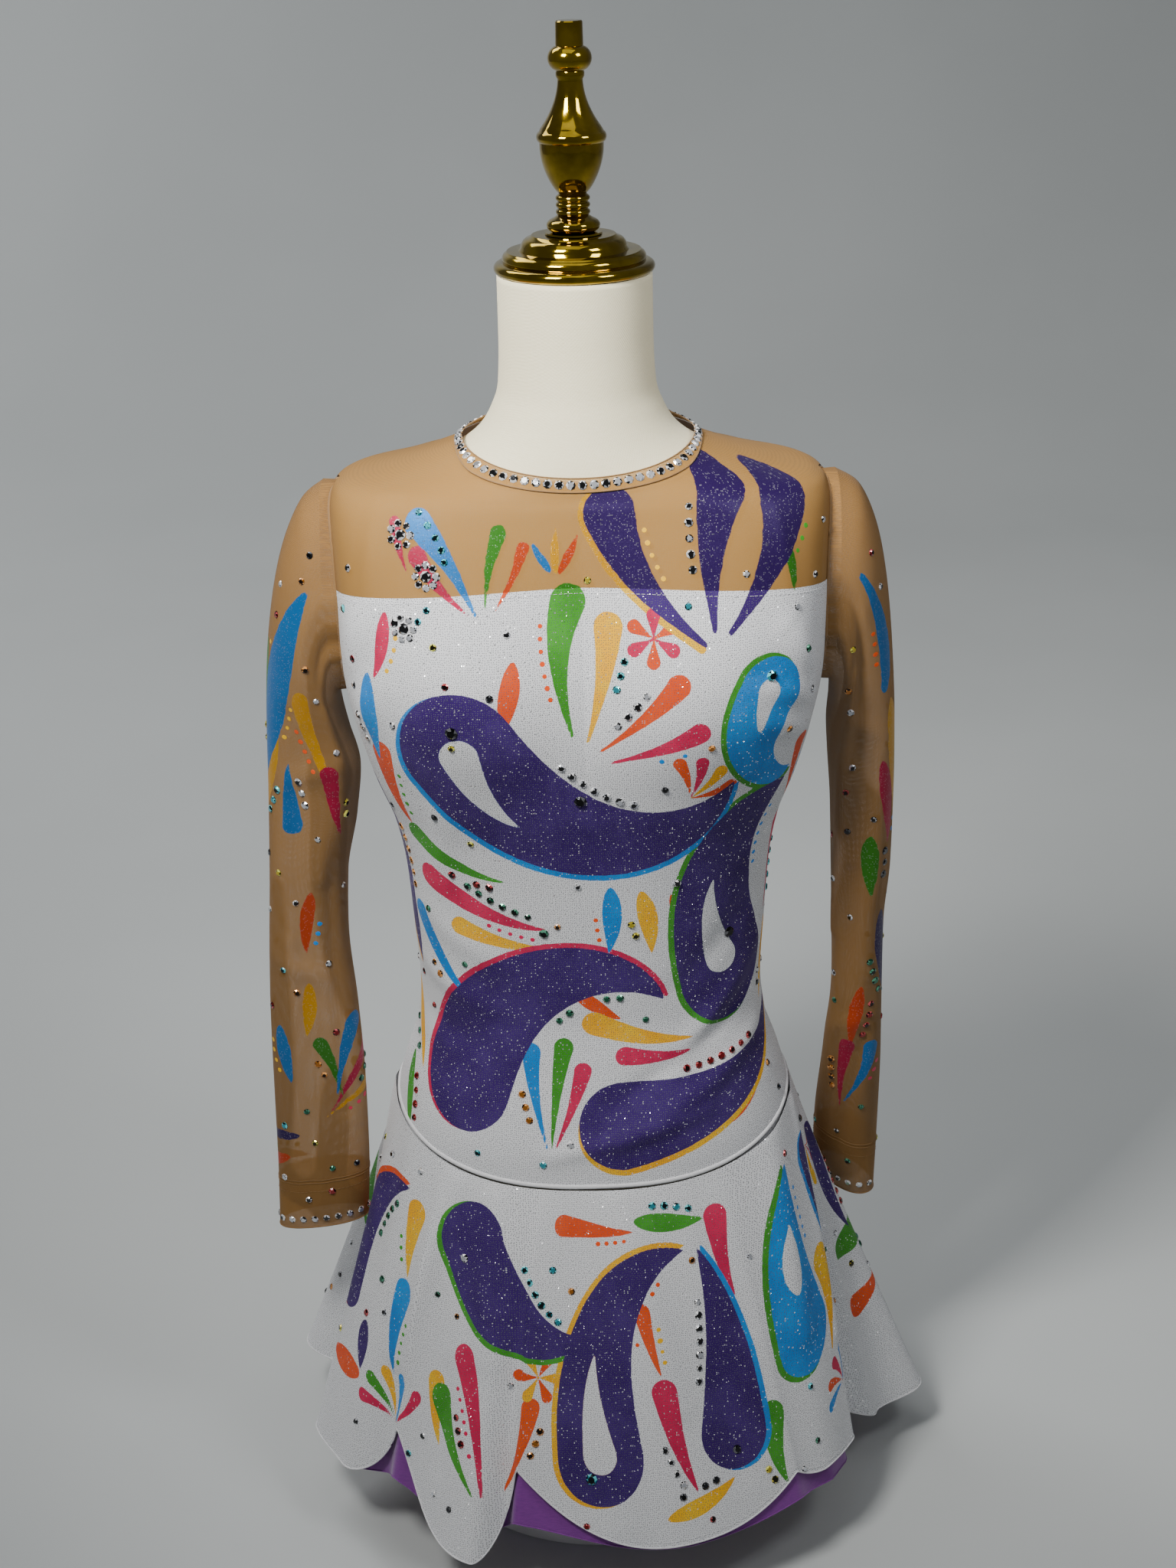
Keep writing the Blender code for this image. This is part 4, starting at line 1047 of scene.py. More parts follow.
MADE_OF = {
    "bodice_front": (white_cloth, "white_glitter_cloth"), "bodice_back": (white_cloth, "white_glitter_cloth"),
    "yoke_front": (nude_mesh, "nude_mesh"), "yoke_back": (nude_mesh, "nude_mesh"),
    "neckband": (nude_mesh, "nude_mesh"), "sleeve_right": (nude_mesh_sleeve_shaded, "nude_mesh"),
    "sleeve_left": (nude_mesh_sleeve_shaded, "nude_mesh"), "skirt": (white_cloth, "white_glitter_cloth"),
    "underskirt": (violet_cloth, "violet_cloth"), "brief": (white_cloth, "white_glitter_cloth"),
    "back_zip": (zip_tape, "zip_tape"),
}
cloths = {}
for name, (material, slot) in MADE_OF.items():
    panel = panels[name]
    cloths[name] = show(grid_mesh(name + "_cloth", panel.points, material, cloth_uv(panel)), slot, name)
    print(name, "has", len(cloths[name].data.polygons), "faces")


# %% [markdown]
# ## Piping, hem, cuffs and armhole seams
#
# A covered cord is sewn into the waist seam. The hems of skirt and underskirt are rolled and
# overlocked. The sleeve is joined to the yoke by a narrow overlocked seam that shows as a thin cord.

# %% Trims
def cloth_row(name, row, columns=slice(None)):
    """Points and normals of one row of a sheet."""
    points = panels[name].points
    return points[row, columns], normals(points)[row, columns]


round_form = np.linspace(0, 2 * math.pi, 480, endpoint=False)
piping_line = body(round_form, place_at(hip_height(round_form)), PIPING_OUT)
piping = joined("waist_piping", [tube(piping_line, PIPING_RADIUS, 12, True)], white_piping)
show(piping, "white_piping", "piping")

for name, radius, material, slot in (("skirt", 0.0006, white_piping, "white_glitter_cloth"),
                                     ("underskirt", 0.0005, violet_cloth, "violet_cloth")):
    show(joined(name + "_rolled_hem", [tube(panels[name].points[0], radius, 6)], material), slot)

TURNED_ROWS = 18      # rows of the sleeve that are turned in at the cuff
# row of the sheet, metres off the cloth, radius, sides of the tube
SLEEVE_SEAMS = [(-1, 0.0004, 0.0010, 6), (0, 0.0, 0.0005, 6), (TURNED_ROWS - 2, 0.0002, 0.00022, 4),
                (TURNED_ROWS - 1, 0.0002, 0.00022, 4)]
seams = []
for name in SLEEVES:
    for row, off, radius, sides in SLEEVE_SEAMS:
        points, facing = cloth_row(name, row)
        seams.append(tube(points + facing * off, radius, sides))
for name, row, radius in (("neckband", -1, 0.0005), ("neckband", 0, 0.0005), ("yoke_front", -1, 0.0004)):
    seams.append(tube(panels[name].points[row], radius, 6))
show(joined("mesh_seams", seams, seam_thread), "nude_mesh")

cuffs = []
for name in SLEEVES:
    panel = panels[name]
    inside = panel.points[:TURNED_ROWS] - normals(panel.points)[:TURNED_ROWS] * 0.0006
    cuff = grid_mesh(name + "_cuff_turning", inside, nude_mesh_sleeve_shaded, cloth_uv(panel)[:TURNED_ROWS])
    cuffs.append(show(cuff, "nude_mesh"))
print(len(seams), "seams on the mesh and", len(cuffs), "turned cuffs")


# %% [markdown]
# ## The dress form
#
# The form is a foam torso covered in ivory linen, with a turned gold cap and finial and a low round
# base. Round parts are turned from their half profile, in many small steps so they shine evenly.

# %% Linen torso
form_azimuth = np.linspace(0, 2 * math.pi, 193)[None, :]
form_place = np.linspace(0, LAST_PLACE, 300)[:, None]
form_points = body(form_azimuth, form_place)
low_cap = [form_points[:1] * (share, share, 1.0) for share in (0.0, 0.5)]
high_cap = [form_points[-1:] * (share, share, 1.0) for share in (0.5, 0.0)]
form_points = np.concatenate([*low_cap, form_points, *high_cap])
torso = show(grid_mesh("linen_torso", form_points, ivory_linen), "ivory_linen", "form_body")
print(torso.name, "has", len(torso.data.polygons), "faces")


# %% Turned parts
def arc(radius, height, half_width, half_height, first, last, count):
    degrees = np.radians(np.linspace(first, last, count * 3))
    return [(radius + half_width * math.cos(a), height + half_height * math.sin(a)) for a in degrees]


def turned(name, profile, material, slot, node, steps=128):
    turn = np.linspace(0, 2 * math.pi, steps + 1)[None, :]
    radius, height = (np.array(column)[::-1, None] for column in zip(*profile))
    points = np.stack([radius * np.cos(turn), radius * np.sin(turn), height + 0 * turn], -1)
    item = grid_mesh(name, points, material)
    weld = item.modifiers.new("weld", "WELD")
    weld.merge_threshold = 0.00001
    item.data.set_sharp_from_angle(angle=math.radians(34))
    print(name, "has", len(item.data.polygons), "faces")
    return show(item, slot, node)


cap = [(0.0, 0.9036), (0.0262, 0.9036), (0.0272, 0.9026)]
cap += arc(0.0272, 0.8950, 0.0062, 0.0072, 70, 10, 4) + [(0.0345, 0.8943), (0.0418, 0.8941)]
cap += arc(0.0400, 0.8895, 0.0050, 0.0044, 60, -25, 5) + [(0.0470, 0.8874)]
cap += arc(0.0468, 0.8838, 0.0036, 0.0034, 70, -60, 6) + [(0.0478, 0.8805), (0.0, 0.8805)]
turned("gold_cap", cap, polished_gold, "polished_gold", "form_cap")

finial = [(0.0, 1.0298), (0.0076, 1.0298), (0.0083, 1.0290), (0.0085, 1.0162)]
finial += arc(0.0062, 1.0080, 0.0073, 0.0076, 72, -72, 8) + [(0.0088, 0.9998), (0.0088, 0.9978)]
finial += [(0.0078 + 0.0110 * (i / 15) ** 1.9, 0.9960 - 0.0284 * i / 15) for i in range(16)]
finial += arc(0.0186, 0.9622, 0.0030, 0.0036, 65, -65, 5)
finial += [(0.0085 + 0.0113 * max(0.0, math.cos(math.pi / 2 * i / 18)) ** 0.75, 0.9574 - 0.0290 * i / 18)
           for i in range(19)]
for bead in range(3):
    finial += arc(0.0088, 0.9256 - 0.0042 * bead, 0.0019, 0.0019, 70, -70, 3)
finial += arc(0.0095, 0.9092, 0.0072, 0.0046, 65, -65, 5)
finial += [(0.0176, 0.9050), (0.0178, 0.9040), (0.0, 0.9039)]
turned("gold_finial", finial, polished_gold, "polished_gold", "form_finial")

base = [(0.0, 0.026)] + arc(0.123, 0.020, 0.006, 0.006, 90, 0, 5)
base += [(0.129, 0.0012), (0.1278, 0.0), (0.0, 0.0)]
turned("round_base", base, white_plastic, "white_plastic", "form_base", 192)


# %% [markdown]
# ## Painted decoration
#
# The dress is painted by hand with fabric paint before it is sewn. The strokes here are a plain set of
# common ornaments: paisleys, drops, leaf sprays and flowers, spread over the flat cloth. One row is one
# stroke of the brush: where it starts, its heading, length and half width, and how far it bends.

# %% Table of strokes
Stroke = namedtuple("Stroke", "cloth colour form across up angle length wide bend rim", defaults=("",))
Spray = namedtuple("Spray", "cloth across up angle spread length wide colours")
STROKES = rows_of(
    Stroke,
    front=[
        # colour, form, across, up, angle, length, half width, bend, colour of the rim
        # large paisleys of the bodice
        ("purple", "paisley", -82, 604, -52, 218, 48, 118, "blue"),
        ("cloth", "drop", -80, 600, -70, 66, 13, 40),
        ("purple", "paisley", 98, 424, 106, 164, 45, -90, "green"),
        ("cloth", "drop", 92, 436, 112, 64, 12, -40),
        ("purple", "paisley", -92, 352, 68, 190, 43, -124, "raspberry"),
        ("purple", "drop", 20, 326, 6, 172, 30, 44, "yellow"),
        ("blue", "paisley", 120, 636, -122, 92, 27, 150, "green"),
        ("cloth", "drop", 119, 636, -110, 30, 8, 20),
        ("purple", "leaf", -166, 566, -84, 150, 17, 20, "yellow"),
        # yoke: leaves that grow out of the bodice
        ("purple", "petal", 92, 676, 50, 84, 17, 34),
        ("purple", "petal", 82, 678, 96, 84, 16, -30),
        ("purple", "petal", 76, 670, 142, 98, 16, -40, "yellow"),
        ("blue", "petal", -66, 690, 116, 62, 9, 20),
        ("raspberry", "petal", -70, 690, 142, 46, 6, -24),
        ("green", "petal", -60, 694, 84, 44, 5, -18),
        ("orange", "petal", -54, 692, 56, 40, 4, 18),
        ("orange", "leaf", -14, 712, 58, 26, 2.6, 10),
        ("yellow", "leaf", -16, 712, 92, 28, 2.6, -10),
        ("blue", "leaf", -18, 712, 126, 24, 2.4, -10),
        ("raspberry", "drop", -116, 742, -80, 34, 3.6, 20),
        ("green", "leaf", 128, 726, -70, 34, 3.2, -20),
        # small strokes of the bodice
        ("green", "petal", -8, 612, 104, 85, 11.2, -36),
        ("yellow", "petal", 2, 608, 74, 74, 9.1, 14),
        ("orange", "petal", 10, 602, 36, 66, 7.5, 14),
        ("raspberry", "petal", 16, 594, 14, 60, 7, 16),
        ("raspberry", "drop", -110, 500, -30, 92, 9, 26),
        ("green", "drop", -120, 532, -34, 74, 7, 30),
        ("yellow", "drop", -88, 466, -18, 66, 6.5, 22),
        ("blue", "drop", -126, 466, -62, 72, 8, 30),
        ("orange", "drop", -140, 592, -82, 58, 10, 30),
        ("blue", "leaf", -142, 650, -98, 65, 7, 20),
        ("raspberry", "leaf", -124, 690, -100, 46, 4.6, -20),
        ("yellow", "leaf", 34, 496, -76, 48, 6.5, -16),
        ("orange", "leaf", 54, 492, -66, 46, 5.5, -16),
        ("blue", "leaf", 14, 500, -86, 50, 6.5, -16),
        ("raspberry", "drop", 152, 520, -88, 69, 8.4, -24),
        ("yellow", "leaf", 148, 446, -88, 63, 6.3, -16),
        ("orange", "drop", 156, 590, -100, 52, 7.7, 24),
        ("yellow", "leaf", -152, 404, -80, 62, 6, 10),
        ("green", "leaf", -158, 350, -84, 52, 6, 10),
        ("orange", "leaf", 136, 352, -130, 54, 6.2, -20),
        ("blue", "petal", -32, 312, 104, 66, 6.5, -16),
        ("green", "petal", -29, 312, 84, 70, 6.5, -6),
        ("raspberry", "petal", -26, 312, 66, 56, 6, 10),
        ("yellow", "drop", 2, 398, -22, 70, 8.5, 24),
        ("raspberry", "drop", 22, 374, -8, 48, 6.5, 20),
        ("orange", "leaf", -14, 426, -44, 44, 5, 20),
        ("orange", "leaf", -44, 662, -98, 50, 6.5, -14),
    ],
    skirt=[
        # skirt: across is degrees, up is minus the way down from the hip seam
        ("purple", "paisley", 0, -182, 96, 178, 40, -92, "yellow"),
        ("cloth", "drop", 0, -180, 100, 70, 13, -24),
        ("purple", "paisley", -35, -44, -62, 122, 33, 96, "green"),
        ("purple", "drop", 30, -178, 80, 132, 25, 26, "blue"),
        ("blue", "drop", 51, -146, 96, 122, 23, -26, "green"),
        ("cloth", "leaf", 50, -112, 92, 50, 6, -16),
        ("purple", "paisley", -74, -142, 92, 124, 25, -66, "orange"),
        ("green", "petal", -26, -214, 132, 69, 9.8, -20),
        ("raspberry", "petal", -24, -214, 100, 94, 9.8, 16),
        ("orange", "petal", -21, -210, 70, 63, 7, 16),
        ("yellow", "drop", -40, -150, -84, 44, 8, 26),
        ("blue", "drop", -53, -104, -100, 63, 9.1, 30),
        ("raspberry", "drop", 16, -140, -84, 74, 9.5, 16),
        ("orange", "drop", 13, -84, -82, 46, 6.5, 10),
        ("green", "drop", 39, -176, -100, 52, 9.8, 30),
        ("yellow", "leaf", 13, -226, 10, 60, 6, 30),
        ("orange", "drop", -10, -24, -6, 63, 7.7, 14),
        ("green", "leaf", 14, -22, -8, 54, 6.5, 10),
        ("raspberry", "drop", 37, -30, -96, 60, 8.4, 20),
        ("yellow", "petal", 58, -176, 76, 63, 9.1, 24),
        ("green", "band", 81, -150, 8, 56, 11.2, 10),
        ("purple", "drop", 86, -60, -96, 83, 12.6, 26),
        ("orange", "drop", 82, -196, 10, 38, 8.4, 20),
        ("blue", "petal", -86, -190, 70, 56, 11.2, 30),
        ("raspberry", "drop", -88, -76, -86, 58, 9, 20),
        ("yellow", "drop", -54, -46, -94, 48, 8, 20),
        ("orange", "band", -72, -196, 10, 34, 8.4, 14),
        ("purple", "drop", 66, -44, -92, 96, 14, 24, "blue"),
        ("purple", "leaf", -63, -150, -88, 34, 7, 16),
        # skirt, back
        ("purple", "paisley", 172, -170, 80, 150, 26, 110, "blue"),
        ("purple", "paisley", -148, -60, -50, 120, 22, 90, "green"),
        ("blue", "drop", 128, -150, 84, 110, 17, 30, "green"),
        ("purple", "drop", -116, -160, 96, 96, 16, -40, "yellow"),
        ("green", "drop", 150, -70, -90, 78, 11.2, 30),
        ("raspberry", "drop", -172, -70, -100, 72, 11.2, -30),
        ("orange", "petal", -134, -190, 70, 63, 9.8, 30),
        ("yellow", "drop", 106, -70, -80, 67, 9.8, 30),
        ("raspberry", "leaf", 110, -180, 80, 67, 8.4, -20),
        ("green", "leaf", -100, -80, -80, 67, 8.4, 20),
    ],
    back=[
        # bodice, back
        ("purple", "paisley", 84, 600, -128, 190, 33, -120, "blue"),
        ("purple", "paisley", -84, 380, 76, 150, 30, -90, "green"),
        ("purple", "drop", 96, 350, 100, 120, 20, -40, "yellow"),
        ("blue", "drop", -96, 610, -90, 96, 18, 40, "green"),
        ("raspberry", "drop", -58, 642, -100, 58, 10, 20),
        ("green", "drop", 50, 470, -96, 78, 11.2, -30),
        ("yellow", "petal", 34, 380, 110, 78, 9.8, -30),
        ("orange", "petal", -30, 340, 80, 67, 9.8, 30),
        ("purple", "petal", -60, 690, 80, 60, 11, -30),
        ("blue", "petal", 60, 690, 100, 63, 12.6, 30),
        ("yellow", "drop", 24, 502, -8, 56, 7, -14),
        ("raspberry", "drop", -90, 500, -100, 60, 8, 20),
        ("green", "leaf", 118, 480, -96, 66, 8, 16),
        ("blue", "leaf", -130, 430, -80, 54, 7, 16),
        ("orange", "drop", 140, 440, -84, 50, 7, 16),
        ("purple", "leaf", 6, 350, -96, 60, 10, 20),
    ],
    sleeve_right=[
        # sleeves: across is millimetres from the front line towards the outer edge
        ("blue", "leaf", 20, 690, -84, 150, 15, 10),
        ("raspberry", "leaf", 44, 620, -96, 63, 7.5, 10),
        ("green", "leaf", 52, 650, -90, 67, 10, -10),
        ("yellow", "drop", 2, 612, -100, 67, 8.8, -20),
        ("yellow", "leaf", 30, 596, -84, 83, 8.8, 14),
        ("blue", "drop", 12, 520, 80, 45, 7.5, 10),
        ("orange", "leaf", -4, 470, -80, 49, 5, -14),
        ("raspberry", "petal", -10, 300, 122, 74, 7.5, 24),
        ("blue", "petal", -14, 312, 100, 58, 6.9, 20),
        ("yellow", "petal", -6, 296, 146, 58, 5.6, 22),
        ("green", "petal", -18, 310, 80, 45, 5.6, -20),
        ("orange", "leaf", 22, 262, -24, 52, 5, 16),
        ("purple", "leaf", 14, 280, -10, 45, 3.8, 10),
        ("yellow", "leaf", 0, 400, -88, 42, 5, 12),
        ("blue", "leaf", 24, 366, -94, 46, 6, -12),
        ("raspberry", "drop", -14, 560, -96, 50, 6, -12),
    ],
    sleeve_left=[
        ("green", "leaf", 4, 500, -92, 46, 6, 12),
        ("blue", "band", 24, 690, -80, 83, 7.5, -34),
        ("yellow", "leaf", 26, 600, -88, 108, 10, 10),
        ("green", "leaf", 38, 580, -90, 90, 9, 6),
        ("raspberry", "leaf", 12, 556, -80, 67, 6.2, -14),
        ("purple", "leaf", 16, 440, -84, 78, 7.5, 12),
        ("orange", "leaf", 4, 380, -96, 56, 5, 12),
        ("blue", "petal", 6, 270, 70, 56, 6.2, 20),
        ("raspberry", "petal", 4, 266, 100, 60, 6.2, -16),
    ],
)
SPRAYS = rows_of(
    Spray,
    front=[
        # a flower of short petals (spread 360), or an open fan of leaves, round one point:
        # across, up, angle, spread, length, half width, colours
        (44, 674, 90, 360, 14, 4.4, ("raspberry", "orange")),
        (66, 566, 50, 90, 28, 4.4, ("orange", "yellow", "raspberry")),
    ],
    skirt=[
        (-50, -196, 110, 120, 32, 4.8, ("raspberry", "blue", "yellow", "green")),
        (76, -54, -70, 120, 30, 4.2, ("orange", "yellow", "raspberry")),
        (-15, -128, -120, 360, 15, 4.2, ("yellow", "orange")),
        (60, -206, 120, 100, 22, 3.6, ("blue", "raspberry", "orange")),
        (-140, -130, 90, 360, 16, 4.2, ("yellow", "orange")),
        (142, -190, 90, 130, 36, 4.6, ("raspberry", "blue", "green")),
    ],
    back=[
        (36, 642, 90, 360, 18, 4.6, ("raspberry", "orange")),
        (146, 540, 100, 100, 30, 4.4, ("blue", "raspberry", "yellow")),
    ],
)
for spray in SPRAYS:
    flower = spray.spread == 360
    count = 6 if flower else len(spray.colours) + 1
    step = spray.spread / (count if flower else count - 1)
    first = spray.angle - (0 if flower else spray.spread / 2)
    for i in range(count):
        colour = spray.colours[i % len(spray.colours)]
        STROKES.append(Stroke(spray.cloth, colour, "petal", spray.across, spray.up, first + step * i,
                              spray.length, spray.wide, 0 if flower else 24))
print(len(STROKES), "strokes of the brush")


# %% [markdown]
# A stroke is a chain of circles along its bent line. Every point of the cloth keeps its distance, in
# millimetres, to the nearest stroke of each colour, and the paint's node group turns that into colour.

# %% Distances to the strokes
NO_PAINT = 5.0      # mm to the nearest stroke, where there is none near
LOOK_ROUND = 6      # mm round a stroke in which distances are measured
RIM_GROW, RIM_SHIFT = 1.0, 3.2      # mm that a rim of another colour is wider and set aside
SPINE_POINTS = 40
# half width along a stroke, as a share of its widest place
FORMS = {
    "drop": lambda s: np.clip(1 - s, 0, 1) ** 0.8,
    "petal": lambda s: 0.10 + 0.90 * s**1.3,
    "leaf": lambda s: np.sin(np.pi * s**0.75) ** 0.9,
    "band": lambda s: 0.45 + 0.55 * np.sin(np.pi * s),
    "paisley": lambda s: np.clip(1 - s, 0, 1) ** 0.9 * (0.82 + 0.55 * s),
}


def to_flat(cloth, across, up):
    """From a place in the tables to the flat cloth, in mm, and the turn of the cloth's own axes."""
    if cloth != "skirt":
        return np.array([across, up], float), 0.0
    turn, reach = math.radians(across) * CONE_SHARE, 1000.0 * CONE_REACH - up
    return np.array([reach * math.sin(turn), -reach * math.cos(turn)]), turn


def spine(stroke, grow=0.0, shift=0.0):
    start, turn = to_flat(stroke.cloth, stroke.across, stroke.up)
    s = np.linspace(0, 1, SPINE_POINTS)
    heading = math.radians(stroke.angle) + turn + math.radians(stroke.bend) * s**1.6
    steps = np.stack([np.cos(heading), np.sin(heading)], -1) * stroke.length / (SPINE_POINTS - 1)
    line = start + np.concatenate([np.zeros((1, 2)), np.cumsum(steps[:-1], 0)])
    side = np.stack([-np.sin(heading), np.cos(heading)], -1) * np.sign(stroke.bend or 1)
    return line - side * shift, stroke.wide * FORMS[stroke.form](s) + grow * (1 - 0.6 * s)


def distance_to(line, radius, points):
    """Signed distance in mm from points to a chain of tapering rounded steps; negative is inside."""
    best = np.full(len(points), np.inf)
    for a, b, r, q in zip(line[:-1], line[1:], radius[:-1], radius[1:]):
        run = b - a
        t = np.clip((points - a) @ run / max(run @ run, 1e-9), 0, 1)
        best = np.minimum(best, np.hypot(*(points - a - t[:, None] * run).T) - (r + (q - r) * t))
    return best


def painted(cloth, flat):
    """Distances in mm from every point of a flat cloth to each colour's strokes."""
    layers = {name: np.full(len(flat), NO_PAINT) for name in COLOURS}
    for stroke in [row for row in STROKES if row.cloth == cloth]:
        for colour, grow, shift in ((stroke.rim, RIM_GROW, RIM_SHIFT), (stroke.colour, 0.0, 0.0)):
            if not colour:
                continue
            line, radius = spine(stroke, grow, shift)
            reach = radius.max() + LOOK_ROUND
            near = np.all((flat > line.min(0) - reach) & (flat < line.max(0) + reach), axis=1)
            distance = distance_to(line, radius, flat[near])
            if colour == "cloth":
                for layer in layers.values():
                    layer[near] = np.maximum(layer[near], -distance)
            else:
                layers[colour][near] = np.minimum(layers[colour][near], distance)
    return layers


# %% [markdown]
# The front and the back are each painted across the chest seam, so bodice and yoke share one set of
# strokes. The distances are written to the meshes as point attributes.

# %% Paint the cloth
PAINTED = {
    "bodice_front": "front", "yoke_front": "front", "bodice_back": "back", "yoke_back": "back",
    "skirt": "skirt", "sleeve_right": "sleeve_right", "sleeve_left": "sleeve_left",
}


def flat_mm(panel):
    return cloth_uv(panel) * 1000.0


def write_values(item, name, values, domain="POINT"):
    layer = item.data.attributes.new(name, "FLOAT", domain)
    layer.data.foreach_set("value", values.astype(np.float32).ravel())


for item in [*cloths.values(), *cuffs]:
    unpainted = np.full(len(item.data.vertices), NO_PAINT)
    layers, doubled_and_shaded_values = {}, 0 * unpainted
    name = item.name.removesuffix("_cloth")
    if name in PAINTED:
        layers = painted(PAINTED[name], flat_mm(panels[name]).reshape(-1, 2))
        # the sleeve bands where the mesh is denser and carries painted shade
        doubled_and_shaded_values = rise_of(panels[name], DOUBLED_AND_SHADED)
    write_values(item, "doubled_and_shaded", doubled_and_shaded_values)
    for colour in COLOURS:
        write_values(item, "paint_" + colour, layers.get(colour, unpainted))
print("painted:", *PAINTED)


# %% [markdown]
# ## Stones and dots
#
# Flat-backed stones are glued on in rows that follow the strokes, with small dots of paint between
# them. A stone is a low dome of facets. Each one is set on the cloth by its place on the flat layout:
# the nearest grid point, plus a small step along the cloth. The layout is squeezed at the armholes, so
# the step is never let grow past its own length, or a stone there would leave the cloth.

# %% Places on the cloth
INNER = slice(2, -2)          # the outer two rows and columns of a sheet carry no stones
LONGEST_STEP = 2.0            # mm on the flat cloth from the nearest grid point
MOST_STRETCH = 0.0012         # metres in the room for each mm on the flat cloth


def slopes(grid):
    """How a grid of places changes towards the next column and the next row."""
    return np.stack([np.gradient(grid, axis=1), np.gradient(grid, axis=0)], -1)


def surface(cloth):
    """Flat places, points, normals and the two directions of the cloth for all its grid points."""
    rows = []
    for name, own in PAINTED.items():
        if own == cloth:
            flat, points = flat_mm(panels[name]), panels[name].points
            move = slopes(points) @ np.linalg.pinv(slopes(flat))
            parts = flat, points, normals(points), move
            rows.append([part[INNER, INNER].reshape(-1, *part.shape[2:]) for part in parts])
    return [np.concatenate(parts) for parts in zip(*rows)]


surfaces = {cloth: surface(cloth) for cloth in ("front", "back", "skirt", *SLEEVES)}


def squares(places, place):
    """Squared distances from many places to one."""
    return np.sum((places - place) ** 2, axis=1)


def settle(cloth, flat):
    """Points and normals on the cloth for places on the flat layout, in mm."""
    grid, points, facing, move = surfaces[cloth]
    found, outward = [], []
    for place in flat:
        nearest = np.argmin(squares(grid, place))
        step = place - grid[nearest]
        step *= min(1.0, LONGEST_STEP / max(np.hypot(*step), 1e-9))
        shift = move[nearest] @ step
        shift *= min(1.0, MOST_STRETCH * np.hypot(*step) / max(np.linalg.norm(shift), 1e-9))
        found.append(points[nearest] + shift)
        outward.append(facing[nearest])
    return np.array(found), np.array(outward)


print("grid points that can carry a stone:", {cloth: len(parts[0]) for cloth, parts in surfaces.items()})


# %% Shapes of a stone and a dot
FACETS = 25      # faces of one stone, the flat top last


def facets(radius, turn):
    """A flat-backed stone with eight sides: rim, sixteen slanted facets and a flat top."""
    low = np.arange(8) * math.pi / 4 + turn
    mid = np.arange(8) * math.pi / 4 + math.pi / 8 + turn
    rings = [(radius, 0.0, low), (radius, 0.16 * radius, low), (0.60 * radius, 0.50 * radius, mid)]
    verts = np.concatenate([np.stack([r * np.cos(a), r * np.sin(a), 0 * a + z], -1) for r, z, a in rings])
    faces = []
    for i in range(8):
        j = (i + 1) % 8
        faces += [(i, j, 8 + j, 8 + i), (8 + i, 8 + j, 16 + i), (8 + j, 16 + j, 16 + i)]
    return verts, faces + [tuple(range(16, 24))]


def blob(radius, turn):
    """A dot of thick paint."""
    a = np.arange(10) * math.pi / 5 + turn
    rim = np.stack([radius * np.cos(a), radius * np.sin(a), 0 * a], -1)
    crown = rim * (0.7, 0.7, 0) + (0, 0, 0.00016)
    faces = [(i, (i + 1) % 10, 10 + (i + 1) % 10, 10 + i) for i in range(10)]
    return np.concatenate([rim, crown]), faces + [tuple(range(10, 20))]


def set_on(shape, point, normal, sink=0.0001):
    verts, faces = shape
    side = np.cross(normal, (0.0, 0.0, 1.0) if abs(normal[2]) < 0.9 else (1.0, 0.0, 0.0))
    side /= np.linalg.norm(side)
    return point - normal * sink + verts @ np.stack([side, np.cross(normal, side), normal]), faces


# %% [markdown]
# A foil-backed stone looks dark in some facets and bright in others, by what each facet reflects. Here
# that is painted: each facet carries its own random value, and a node group turns it into a painted dark
# reflection, the stone's own tint or a painted highlight, under the stone's clear coat. Paint dots are satin.

# %% Stone and dot materials
STONES = {
    "clear": srgb(224, 227, 234), "emerald": srgb(20, 104, 74), "red": srgb(150, 22, 26),
    "topaz": srgb(196, 120, 36), "citrine": srgb(226, 204, 60), "turquoise": srgb(60, 178, 196),
    "black": srgb(34, 36, 42),
}
painted_facet_reflections, given, out = new_group(
    "painted_facet_reflections",
    [("Painted Dark", "Color", srgb(0, 0, 0)), ("Tint", "Color", srgb(128, 128, 128)),
     ("Light", "Color", srgb(255, 255, 255))],
    [("Color", "Color"), ("Metallic", "Float")])
# painted reflections: 0 is a painted dark reflection, 0.5 the stone's tint and 1 a painted highlight, which is
# also made less metallic so that it stays bright
cut = attribute(painted_facet_reflections, "cut")
tinted = blended(painted_facet_reflections, calc(painted_facet_reflections, "MULTIPLY", cut, 2.0), given["Painted Dark"], given["Tint"])
highlight_share = calc(painted_facet_reflections, "MULTIPLY_ADD", cut, 2.0, -1.0)
painted_facet_reflections.links.new(blended(painted_facet_reflections, highlight_share, tinted, given["Light"]), out["Color"])
painted_facet_reflections.links.new(calc(painted_facet_reflections, "MULTIPLY_ADD", cut, -0.5, 0.9), out["Metallic"])

